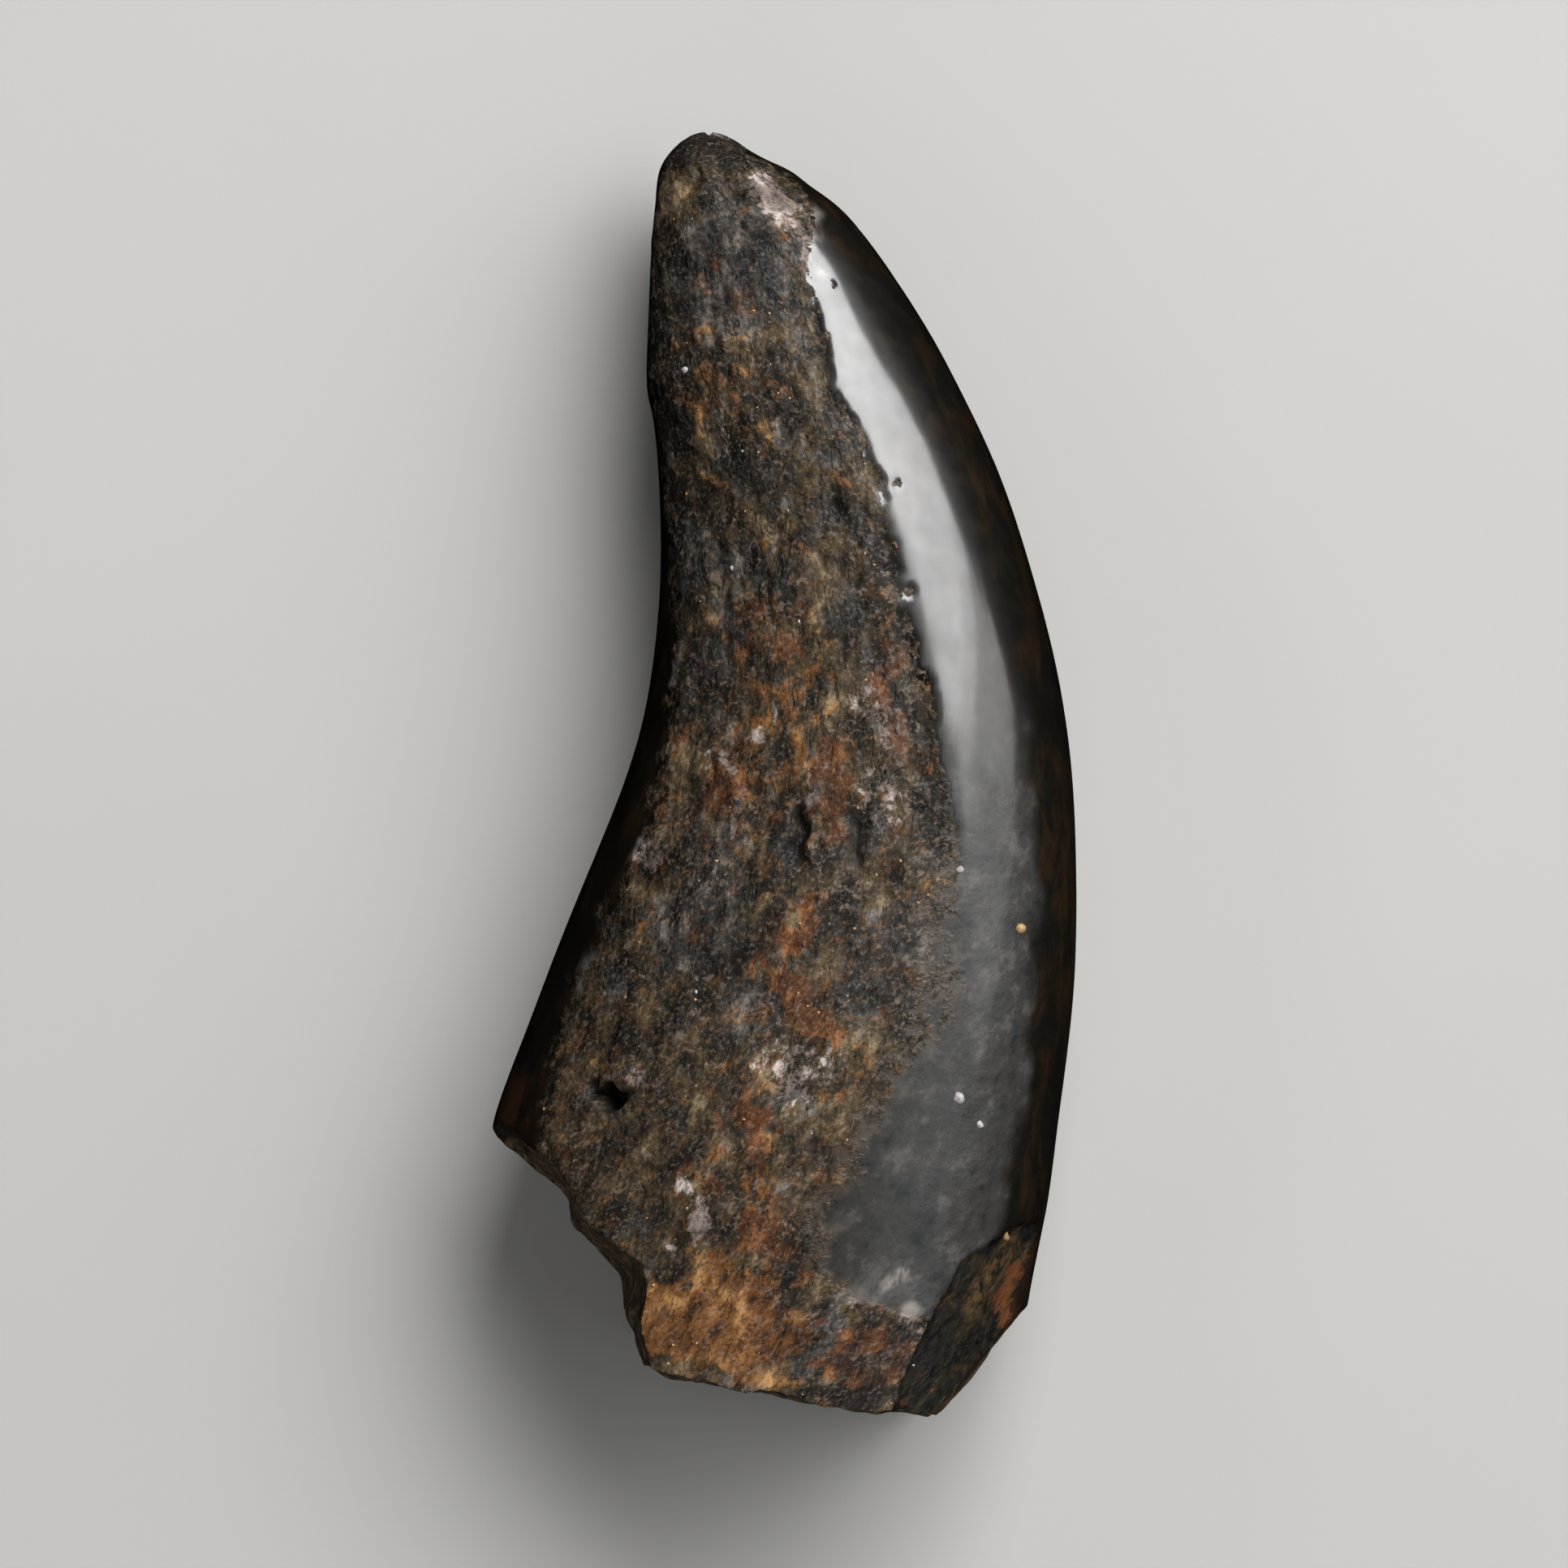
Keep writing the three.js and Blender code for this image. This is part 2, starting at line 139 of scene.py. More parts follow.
# How high the enamel stands at its border, as (y, height).
ENAMEL_HEIGHT = [
    (-46, 0.03), (-12, 0.03), (-4, 0.22), (3, 0.26), (14, 0.16), (24, 0.1), (46, 0.08),
]
REAR_STEP_FADE = (0.5, 6.0)  # distances from the rear border over which the enamel's step grows
WEATHERED_FACING = (0.0, 0.35)  # upward parts of the normal where wear starts and is full
TIP_FADE = (1.6, 0.3)  # wear fades out between these numbers of stations from the tip

# Away from the upper face the wear comes in scattered patches, along the belly and around the tip.
BELOW_FACING = (0.1, 0.5)  # downward parts of the normal where it starts and is full
BELLY_HEIGHTS = (1.2, 0.1)  # heights between which the belly's wear comes in
SCATTERED_WEAR = 0.85
TIP_WEAR = 0.8
TIP_WEAR_SPAN = (1.4, 0.2)  # numbers of stations from the tip between which it comes in

# Relief of the weathered face: sizes and depths, with the pits as (size, depth, share of cells, shift).
DRAWN_OUT = 0.5  # how much denser the relief is across the tooth than along it
LUMP_SIZE = 3.4
LUMP_DEPTH = 0.16
ROUGH_SIZE = 1.9
ROUGH_DEPTH = 0.16
WORN_PITS = [(1.5, 0.24, 0.22, 0.0), (0.8, 0.15, 0.25, 8.0)]
LESS_RELIEF = 0.45  # share of the relief away from the upper face

# Relief of the enamel: long waves and fine ripples.
WAVE_SIZE = 7.0
WAVE_DEPTH = 0.03
RIPPLE_SIZE = 0.8
RIPPLE_DEPTH = 0.006

# Pits and lumps as (x, y, radius, depth), grooves and ridges as (x, y, x, y, half width, depth).
# A negative depth stands up.
PITS = [
    (-12.9, -22.7, 1.4, 1.5), (-12, -23, 1.3, 1.6), (-10.8, -21.4, 1.3, -0.35), (-2.4, -37.1, 0.7, 0.45),
    (3.6, 18.2, 0.9, 0.4), (-1, 24.8, 0.9, 0.35), (9.3, -3, 0.7, 0.4), (10.6, -5.6, 0.9, 0.4),
    (-4.6, 15, 0.9, 0.3), (6.2, 8, 0.9, 0.3), (9.4, -0.4, 0.6, 0.3), (8.1, 7, 0.6, 0.3),
    (8.7, 3.2, 0.6, 0.3), (6.6, 14.6, 0.6, 0.3),
]
GROOVES = [
    (1, -3.2, 0.6, -5.8, 1.1, 0.7), (4.6, -3.2, 5, -6.2, 0.9, 0.35), (-5, 1.4, -3.4, -2, 0.6, -0.3),
    (-3.4, -2, -2.8, -6, 0.6, -0.25), (1.9, -1.3, 1.8, -6.5, 0.55, -0.3),
    (-6.4, -29.2, -6.3, -33.6, 0.8, -0.25), (5.3, 5.2, 6.6, 0.8, 0.6, -0.2),
    (-9.2, -33, -7.6, -33.8, 0.6, -0.2),
]

# Spots at the border where the enamel has flaked, as (x, y, radius).
FLAKED_SPOTS = [
    (3.4, 33.9, 0.36), (7.8, 19.8, 0.5), (8.6, 12.2, 0.5), (10, 4.4, 0.6), (11.4, -4.4, 0.9),
    (10.9, -1.2, 0.6), (11.6, -7.4, 0.6),
]

# The crown's middle line, roughly, leans by this parabola: x falls by CURVE * (y - CURVE_MIDDLE) ** 2.
CURVE = 0.005
CURVE_MIDDLE = 7.0

# ---- Mesh density ----

RINGS = 345
UPPER_SEGMENTS = 180
LOWER_SEGMENTS = 88
WALL_STEP = 0.4  # size of a break wall's faces

# ---- Curves and noise ----


def smoothstep(value, low, high):
    t = np.clip((value - low) / (high - low), 0, 1)
    return t * t * (3 - 2 * t)


def mix(a, b, share):
    return a + (b - a) * share


def bump(distance, radius):
    """1 at the middle, falling smoothly to 0 at the radius."""
    return np.maximum(0, 1 - (distance / radius) ** 2) ** 2


def lookup(rows, y, column=1):
    """Straight-line lookup in rows that begin with y."""
    table = np.array(sorted(rows))
    return np.interp(y, table[:, 0], table[:, column])


def spline(values, index):
    """A curve of even bend through the values, at whole or part indices."""
    values = np.asarray(values, float)
    count = len(values)
    system = 4 * np.eye(count) + np.eye(count, k=1) + np.eye(count, k=-1)
    system[0] = np.eye(count)[0]
    system[-1] = np.eye(count)[-1]
    second = np.zeros(count)
    second[1:-1] = 6 * (values[2:] - 2 * values[1:-1] + values[:-2])
    bend = np.linalg.solve(system, second)
    low = np.clip(np.floor(index).astype(int), 0, count - 2)
    up = index - low
    down = 1 - up
    straight = down * values[low] + up * values[low + 1]
    return straight + ((down ** 3 - down) * bend[low] + (up ** 3 - up) * bend[low + 1]) / 6


LATTICE_SIZE = 64
random = np.random.default_rng(SEED)
LATTICE = random.uniform(-1, 1, (LATTICE_SIZE,) * 3)
CELLS = random.uniform(0, 1, (LATTICE_SIZE,) * 3 + (5,))  # x, y, z, radius and chance of a cell's pit
OCTAVE_TURN = np.array([[0.36, 0.48, -0.8], [-0.8, 0.6, 0.0], [0.48, 0.64, 0.6]])
OCTAVE_SHIFT = 17.3


def noise(points, size, shift=0.0):
    """Smooth noise from -1 to 1, with features about size across."""
    place = points / size + shift
    low = np.floor(place).astype(int)
    t = place - low
    t = t ** 3 * (t * (6 * t - 15) + 10)
    total = np.zeros(points.shape[:-1])
    for corner in np.ndindex(2, 2, 2):
        weight = np.where(np.array(corner) == 1, t, 1 - t).prod(-1)
        i, j, k = np.moveaxis((low + corner) % LATTICE_SIZE, -1, 0)
        total += weight * LATTICE[i, j, k]
    return total


def fractal(points, size, octaves=4, gain=0.5, shift=0.0):
    """Noise in several sizes, each half the one before and turned against it."""
    total = np.zeros(points.shape[:-1])
    height = 1.0
    for octave in range(octaves):
        total += height * noise(points, size, shift + OCTAVE_SHIFT * octave)
        points = points @ OCTAVE_TURN
        size /= 2
        height *= gain
    return total


def cell_pits(points, size, share, shift=0.0):
    """Round pits, 1 at their middles, in about the given share of the cells of this size."""
    place = points / size + shift
    cell = np.floor(place).astype(int)
    depth = np.zeros(points.shape[:-1])
    for offset in np.ndindex(3, 3, 3):
        near = cell + offset - 1
        i, j, k = np.moveaxis(near % LATTICE_SIZE, -1, 0)
        chance = CELLS[i, j, k]
        distance = np.linalg.norm(place - near - chance[..., :3], axis=-1)
        pit = bump(distance, 0.25 + 0.5 * chance[..., 3]) * (chance[..., 4] < share)
        depth = np.maximum(depth, pit)
    return depth


# ---- The crown ----

STATION_COUNT = len(CONCAVE_EDGE)


def rail_pair(first, tip, second):
    """Two rails that meet at the tip, as one curve over it."""
    return [*first, tip, *reversed(second)]


EDGE_X = rail_pair([p[0] for p in CONCAVE_EDGE], TIP[0], [p[0] for p in CONVEX_EDGE])
EDGE_Y = rail_pair([p[1] for p in CONCAVE_EDGE], TIP[1], [p[1] for p in CONVEX_EDGE])
HEIGHTS = rail_pair(CREST_HEIGHT, TIP[2], BELLY_HEIGHT)


def crown_point(station, angle):
    """The crown before weathering. The angle is 0 at the front edge and pi at the rear one."""
    mirrored = 2 * STATION_COUNT - station
    across = np.cos(angle)
    power = 2 / mix(REAR_ROUNDNESS, FRONT_ROUNDNESS, smoothstep(across, -1, 1))
    height = np.abs(np.sin(angle)) ** power
    side = np.sign(across) * np.abs(across) ** power
    share = (1 + np.clip(side + CREST_SKEW * height * height, -1, 1)) / 2
    top = np.where(angle >= 0, spline(HEIGHTS, station), spline(HEIGHTS, mirrored))
    widest = mix(WIDEST_AT_BASE, WIDEST_AT_TIP, station / STATION_COUNT)
    return np.stack([
        mix(spline(EDGE_X, station), spline(EDGE_X, mirrored), share),
        mix(spline(EDGE_Y, station), spline(EDGE_Y, mirrored), share),
        mix(widest, top, height),
    ], axis=-1)


def crown_normal(station, angle):
    step = 0.01
    along = crown_point(station + step, angle) - crown_point(station - step, angle)
    around = crown_point(station, angle + step) - crown_point(station, angle - step)
    normal = np.cross(along, around)
    return normal / np.maximum(np.linalg.norm(normal, axis=-1, keepdims=True), 1e-9)


def distance_to_line(x, y, x0, y0, x1, y1):
    dx, dy = x1 - x0, y1 - y0
    share = np.clip(((x - x0) * dx + (y - y0) * dy) / (dx * dx + dy * dy), 0, 1)
    return np.hypot(x - x0 - share * dx, y - y0 - share * dy)


def past_outline(x, y, outline):
    """Distance from an outline, positive on the right hand of the way along it."""
    nearest = np.full(np.shape(x), np.inf)
    signed = np.zeros(np.shape(x))
    for (x0, y0), (x1, y1) in zip(outline, outline[1:]):
        distance = distance_to_line(x, y, x0, y0, x1, y1)
        side = np.sign((x - x0) * (y1 - y0) - (y - y0) * (x1 - x0))
        closer = distance < nearest
        signed = np.where(closer, side * distance, signed)
        nearest = np.minimum(nearest, distance)
    return signed


def wear_zones(base):
    """How far each point of the upper face belongs to the weathered face and to the lost flake."""
    x, y = base[..., 0], base[..., 1]
    width = lookup(FRONT_EDGE_WIDTH, y)
    ragged = (0.25 + 0.12 * width) * fractal(base, 2.4, 3, shift=3.0)
    ragged += 0.3 * fractal(base, 0.8, 2, shift=5.0)
    from_front = (lookup(WEATHERED_FRONT, y) + ragged - x) / width + 0.5
    from_rear = x - lookup(WEATHERED_REAR, y) + 0.5 * fractal(base, 2.0, 3, shift=9.0)
    from_rear = from_rear / REAR_EDGE_WIDTH + REAR_EDGE_SHIFT
    worn = smoothstep(from_front, 0, 1) * smoothstep(from_rear, 0, 1)
    for spot_x, spot_y, radius in FLAKED_SPOTS:
        distance = np.hypot(x - spot_x, y - spot_y) + 0.2 * ragged
        worn = np.maximum(worn, 0.9 * bump(distance, radius))
    past_flake = past_outline(x, y, FLAKE_OUTLINE) + 0.25 * fractal(base, 1.6, 3, shift=21.0)
    return worn, past_flake


def along_crown(points):
    """The points shifted so that Y follows the crown's curve."""
    shifted = np.array(points)
    shifted[..., 0] += CURVE * (shifted[..., 1] - CURVE_MIDDLE) ** 2
    return shifted


def worn_relief(base):
    """Depth of the weathered face below a smooth one: lumps, grain and pits."""
    drawn = along_crown(base) * (1.0, DRAWN_OUT, 1.0)
    depth = LUMP_DEPTH * noise(base, LUMP_SIZE, 1.0)
    depth += ROUGH_DEPTH * fractal(drawn, ROUGH_SIZE, 4, 0.62, shift=31.0)
    for size, pit_depth, share, shift in WORN_PITS:
        depth += pit_depth * cell_pits(drawn, size, share, shift)
    return depth


def enamel_relief(base):
    """Depth of the smooth enamel's own faint waves and ripples, drawn out along the tooth."""
    waves = fractal(base * (1.0, 0.5, 1.0), WAVE_SIZE, 2, shift=41.0)
    ripples = noise(base * (1.0, 0.25, 1.0), RIPPLE_SIZE, 43.0)
    return WAVE_DEPTH * waves + RIPPLE_DEPTH * ripples


def marks_depth(base):
    """Depth of the single pits and grooves, their outlines ragged by noise."""
    x = base[..., 0] + 0.35 * fractal(base, 1.1, 3, shift=101.0)
    y = base[..., 1] + 0.5 * fractal(base, 1.1, 3, shift=107.0)
    depth = np.zeros(x.shape)
    for px, py, radius, pit in PITS:
        depth += pit * bump(np.hypot(x - px, y - py), radius)
    for *line, half_width, groove in GROOVES:
        depth += groove * bump(distance_to_line(x, y, *line), half_width)
    return depth


# ---- The surface and its zones ----

# Patches of colour on the upper face, with painted glints among the pale ones and painted shade among the
# dark ones: (x, y, half length, half width, turn in degrees, strength).
PATCHES = {
    "rust": [
        (1.3, -16.5, 3.6, 1.3, -57, 1), (-2.4, -24.6, 2.6, 1.2, 80, 0.9), (-1.5, -32.3, 2.4, 1.7, 20, 0.9),
        (5.9, -40.7, 3.2, 2.2, 10, 1.3), (16.6, -36.6, 2.6, 0.9, 75, 1.1), (-6.8, 43.2, 1.1, 0.9, 0, 0.8),
        (3.2, -1.6, 4.8, 1.3, 85, 0.8), (7.2, 5.4, 4, 0.9, 95, 0.8), (-1.4, 9.8, 3.4, 2.4, 10, 0.55),
        (-4.2, -1.2, 3.2, 1.5, 80, 0.6), (0.6, -10.8, 3, 1.6, 60, 0.5), (6, 16.6, 1, 0.6, 0, 0.8),
        (9.4, 1.6, 2.2, 0.8, 95, 0.7), (-5, -27.6, 2.6, 1.4, 30, 0.4), (-18.6, -23.6, 3.4, 1.8, 70, 0.9),
        (1.8, 39.9, 0.8, 1.8, 0, 0.4), (6.3, 39, 5.5, 1.3, -50, 0.35),
    ],
    "ochre": [
        (-4.9, -38.9, 6.2, 3.4, -12, 1), (-3.8, -34.8, 4, 1.9, -20, 0.6), (-1, -41.6, 3, 1.4, -8, 0.6),
        (-3.5, 26, 4.4, 2.6, -40, 0.3), (-4.7, 20.2, 0.9, 0.4, -45, 0.9), (-6, 29.6, 2.6, 1.7, 10, 0.25),
        (-0.8, 1.2, 8.5, 3.8, 88, 0.36), (-2.2, -27.4, 5.5, 1.5, 86, 0.55), (-1.2, -15, 4, 1.6, 70, 0.4),
        (16, -32.9, 0.9, 0.6, 0, 0.8), (-6, 25.6, 3.2, 2, 60, 0.4), (15.2, -35, 3.4, 1.3, 70, 0.7),
        (5.6, -40.6, 3, 1.8, 10, 0.5),
    ],
    "slate": [
        (-3.6, 35, 5.6, 4.2, 80, 1), (-2, 27, 9, 4.6, 85, 0.2), (-4.5, 8, 6, 2, 85, 0.4),
        (-5.6, -9.8, 5.6, 3.4, 60, 0.7), (-5.6, 14.4, 2.4, 3.8, 70, 0.35), (7.6, -12.9, 5.2, 3.2, 80, 0.6),
        (1.6, 20, 3.2, 1.9, 30, 0.3), (2.4, -39.2, 2.6, 1.3, 80, 0.9), (-2, -17, 2.4, 2, 0, 0.5),
        (5.8, -4.6, 2.4, 1, 90, 0.6), (-7, 6.5, 3.6, 1.3, 88, 0.5),
    ],
    # Pale stains, and painted glints: the bright patches near the tip, where the enamel's highlight runs on
    # over the weathered face, and the thin bright marks on it.
    "pale_and_glint": [
        (6.2, 4.2, 3, 1.6, 95, 0.75), (6.6, -1.8, 3.4, 1.8, 85, 0.65), (-9.5, -6.4, 1.6, 1.1, 20, 0.9),
        (-6.3, -31, 2.6, 0.7, 88, 1.2), (-8.4, -33.4, 1.2, 0.4, -30, 0.8), (-11, -21.5, 1, 0.9, 0, 0.9),
        (0.6, -20.8, 3.2, 2.2, 30, 0.7), (-4.2, -20, 2.2, 1.2, 30, 0.5), (8.9, -37.8, 1.2, 0.45, 30, 0.8),
        (7.9, -35.2, 0.9, 0.35, 0, 0.9), (3.2, -36.2, 2.6, 0.8, -10, 0.45),
        (-0.5, 39.8, 3.6, 1.4, -48, 1.25), (1.3, 36.4, 2.2, 0.6, -65, 1), (-0.8, 4.6, 1.1, 0.4, -70, 1.1),
        (-4.7, 0.6, 1.3, 0.4, -60, 1.1), (1.6, -2.3, 0.9, 0.35, 90, 1), (-3.2, -4.2, 1.4, 0.35, -75, 1),
        (-2.5, 2.1, 1.3, 0.4, 8, 1), (-13, -15.6, 1.2, 2.6, 20, 0.4), (5.4, 8.2, 2, 1, 80, 0.5),
        (11, -19, 2, 0.9, -60, 0.35), (3.3, -38.9, 0.3, 1.6, 0, 0.6), (7.4, -36, 1.8, 0.6, 15, 0.7),
    ],
    # Dark stains, and painted shade: the shadow along the enamel's broken border, the shade falling off
    # towards the rear edge, and darkening over the lower middle.
    "dark": [
        (-5.4, 43.6, 4.4, 1.8, -8, 1.2), (2.5, 17.6, 1.3, 1.1, 0, 0.8), (6.9, 14, 2.8, 0.9, -65, 1),
        (7.6, 10.4, 2.4, 1, -65, 1), (9.2, 3.6, 3.6, 1.1, -80, 1), (9.9, -2.2, 3, 1.2, 90, 1),
        (11.1, -5.9, 1.6, 1, 0, 0.8), (0.5, -4.8, 2, 1, 85, 0.9), (-6.1, -8.8, 4, 2.2, 60, 0.6),
        (-10.1, -12.8, 2.2, 1.2, 0, 0.3), (-7.6, 16, 8, 1.6, 88, 0.6), (1.9, -19.7, 2.2, 1, -50, 0.35),
        (1.9, -42.6, 2.6, 0.9, 0, 0.9), (5.4, -41.6, 3.2, 1.9, 0, 0.75), (-5, -17.5, 6, 3.5, 10, 0.35),
        (-3, -9.5, 6, 3.2, 20, 0.3), (6.8, -43.7, 5.4, 1.1, -4, 1.4), (-2.5, 20, 9, 5, 88, 0.36),
        (-8, 29, 10, 1.9, 88, 0.8), (-3.5, 22.6, 2.4, 1.2, -50, 0.5), (3, -8.5, 2.4, 1, 85, 0.5),
        (-0.9, 24.8, 1.4, 1, 0, 0.7), (4.9, 28, 2.2, 0.8, -60, 0.6),
    ],
}
UPPER_FACING = (-0.1, 0.25)  # upward parts of the normal between which the upper face's colours come in
DARK_TIP_SPAN = (1.8, 0.7)  # numbers of stations from the tip between which its dark end comes in
RUST_BELOW = 0.9  # strength of the underside's rust
RUST_FADE = 0.4  # by how much rust grows rarer towards the tip
RUST_FADE_SPAN = (8.0, 20.0)  # y between which it does
DULL_SPAN = (7.0, -7.0)  # y between which the enamel grows dull towards the base
DULL_REACH = (0.0, 5.0)  # and the distances from the rear border
SOFT_REACH = (6.0, 2.0)  # distances from the rear border between which the borders grow soft
FLANK_FACING = (0.82, 0.60)  # upward parts of the normal between which the enamel's dark flank comes in, where the painted grey sheen of the dull enamel stops

# Besides the stains of PATCHES, partly painted glints and shade: where the enamel is gone, where the flake is
# lost, how deep in a hollow or high on a lump a point is (painted shade darkens the hollows), where the
# enamel is dull, where its border is soft, its flanks, the breaks, and the rim of enamel around a break.
ZONE_NAMES = (*PATCHES, "worn", "flake", "hollow", "dull", "soft", "flank", "break", "rim")


def patch_strength(base, patches):
    """Strength of soft oval patches, their outlines ragged by noise."""
    x = base[..., 0] + 0.9 * fractal(base, 2.6, 3, shift=51.0)
    y = base[..., 1] + 0.9 * fractal(base, 2.6, 3, shift=57.0)
    strength = np.zeros(x.shape)
    for px, py, half_length, half_width, turn, full in patches:
        c, s = math.cos(math.radians(turn)), math.sin(math.radians(turn))
        along = ((x - px) * c + (y - py) * s) / half_length
        across = ((y - py) * c - (x - px) * s) / half_width
        strength = np.maximum(strength, full * smoothstep(np.hypot(along, across), 1.35, 0.45))
    return strength


def wear_below(base, downward):
    """How far the enamel is gone away from the upper face."""
    turned = base @ OCTAVE_TURN
    below = smoothstep(downward, *BELOW_FACING)
    scattered = smoothstep(fractal(turned, 6.5, 5, 0.6, shift=61.0), 0.1, 0.5)
    height = base[..., 2] + 0.35 * fractal(turned, 4.0, 4, 0.6, shift=63.0)
    belly = smoothstep(height, *BELLY_HEIGHTS) * below
    return np.maximum(SCATTERED_WEAR * scattered, belly) * below


def before_tip(station, span):
    """0 far from the tip and 1 at it, coming in between two numbers of stations before it."""
    return smoothstep(station, STATION_COUNT - span[0], STATION_COUNT - span[1])


def colour_zones(base, upward, at_tip):
    """The zones that only colour and gloss depend on."""
    y = base[..., 1]
    in_front = base[..., 0] - lookup(WEATHERED_REAR, y)
    upper = smoothstep(upward, *UPPER_FACING)
    zones = {name: upper * patch_strength(base, patches) for name, patches in PATCHES.items()}
    spread = np.maximum(0, fractal(base, 6.0, 4, shift=81.0)) * (1 - upper)
    zones["rust"] = np.maximum(zones["rust"], RUST_BELOW * spread * (1 - at_tip))
    zones["rust"] -= RUST_FADE * upper * smoothstep(y, *RUST_FADE_SPAN)
    zones["dark"] = np.maximum(zones["dark"], at_tip)
    lower = smoothstep(y + 1.6 * fractal(base, 3.0, 3, shift=87.0), *DULL_SPAN)
    zones["dull"] = lower * smoothstep(in_front, *DULL_REACH) * upper
    near_rear = smoothstep(in_front, *SOFT_REACH)
    zones["soft"] = np.maximum(zones["dull"], np.maximum(near_rear, 1 - upper))
    zones["flank"] = smoothstep(upward + 0.06 * fractal(base, 3.0, 3, shift=83.0), *FLANK_FACING)
    zones["break"] = zones["rim"] = np.zeros(y.shape)
    return zones


def weathered_surface(station, angle):
    """The finished crown's points, and the zones that each point belongs to."""
    base = crown_point(station, angle)
    normal = crown_normal(station, angle)
    upward = normal[..., 2]
    facing = smoothstep(upward, *WEATHERED_FACING)
    worked = facing * (1 - before_tip(station, TIP_FADE))
    worn, past_flake = wear_zones(base)
    flake = smoothstep(past_flake, 0, 0.35) * facing
    tip_wear = TIP_WEAR * before_tip(station, TIP_WEAR_SPAN)
    worn = np.maximum(worn * facing, np.maximum(wear_below(base, -upward), tip_wear))

    in_front = base[..., 0] - lookup(WEATHERED_REAR, base[..., 1])
    step = worked * lookup(ENAMEL_HEIGHT, base[..., 1]) * smoothstep(in_front, *REAR_STEP_FADE)
    relief = worn_relief(base)
    depth = worn * (step + 0.1 * (1 - facing)) + worn ** 1.5 * relief * mix(LESS_RELIEF, 1.0, worked)
    flake_depth = FLAKE_STEP + FLAKE_SLOPE * np.maximum(0, past_flake) + FLAKE_ROUGHNESS * relief
    depth = mix(depth, flake_depth, flake)
    depth += (1 - worn) * (1 - flake) * enamel_relief(base)
    marks = marks_depth(base) * worked
    depth += marks

    carina = sum(CARINA_HEIGHT * bump(angle - at, CARINA_HALF_ANGLE) for at in CARINA_ANGLES)
    carina *= 0.8 + 0.4 * noise(base, 2.2, 71.0)
    point = base + normal * (carina - depth)[..., None]
    resting = 0.05 * (1 + noise(base, 0.9, 73.0))
    point[..., 2] = np.maximum(point[..., 2], resting)

    zones = colour_zones(base, upward, before_tip(station, DARK_TIP_SPAN))
    zones["worn"] = worn
    zones["flake"] = flake
    # How deep in a hollow a point is; the colour darkens the hollows with painted shade.
    zones["hollow"] = np.clip((marks + 1.2 * worn * (relief - 0.08)) / 0.5, -1, 1)
    return point, zones


def ring_stations():
    """Stations of the rings, evenly spaced along the tooth."""
    fine = np.linspace(0, STATION_COUNT, 600)
    middle = crown_point(fine, np.full(fine.shape, math.pi / 2))
    length = np.concatenate([[0], np.cumsum(np.linalg.norm(np.diff(middle, axis=0), axis=1))])
    return np.interp(np.linspace(0, length[-1], RINGS + 1), length, fine)[:-1]


def grid_faces(rows, columns, closed=False):
    """Quads of a grid of points, numbered row by row."""
    quads = columns if closed else columns - 1
    row, column = np.meshgrid(np.arange(rows - 1), np.arange(quads), indexing="ij")
    following = (column + 1) % columns
    corners = [row * columns + column, row * columns + following,
               (row + 1) * columns + following, (row + 1) * columns + column]
    return np.stack(corners, axis=-1).reshape(-1, 4)


def new_object(name, data):
    made = bpy.data.objects.new(name, data)
    bpy.context.scene.collection.objects.link(made)
    return made


# Where each part of the surface lies in the baked texture: left, bottom, and millimetres across it.
TEXTURE_SCALE = 1 / 120.0
TEXTURE_MARGIN = 0.005
CROWN_GIRTH = 104.0
CROWN_LENGTH = 92.0
UPPER_SHARE = 0.56  # of the girth
WALL_PLACES = {"rear": (0.0, 0.785), "base": (0.09, 0.785), "chip": (0.36, 0.785), "pulp": (0.7, 0.8)}


def make_object(name, points, faces, uvs, zones):
    """A mesh object from points, faces, one UV for each face corner and zones for each point."""
    mesh = bpy.data.meshes.new(name)
    whole_faces = [list(map(int, face)) for face in faces]
    mesh.from_pydata((np.asarray(points) * MM).tolist(), [], whole_faces)
    layer = mesh.uv_layers.new(name="OFBake")
    layer.data.foreach_set("uv", np.asarray(uvs, np.float32).ravel())
    corners = np.empty(len(mesh.loops), np.int32)
    mesh.loops.foreach_get("vertex_index", corners)
    for zone in ZONE_NAMES:
        attribute = mesh.attributes.new(zone, "FLOAT", "CORNER")
        attribute.data.foreach_set("value", np.asarray(zones[zone], np.float32)[corners])
    return new_object(name, mesh)


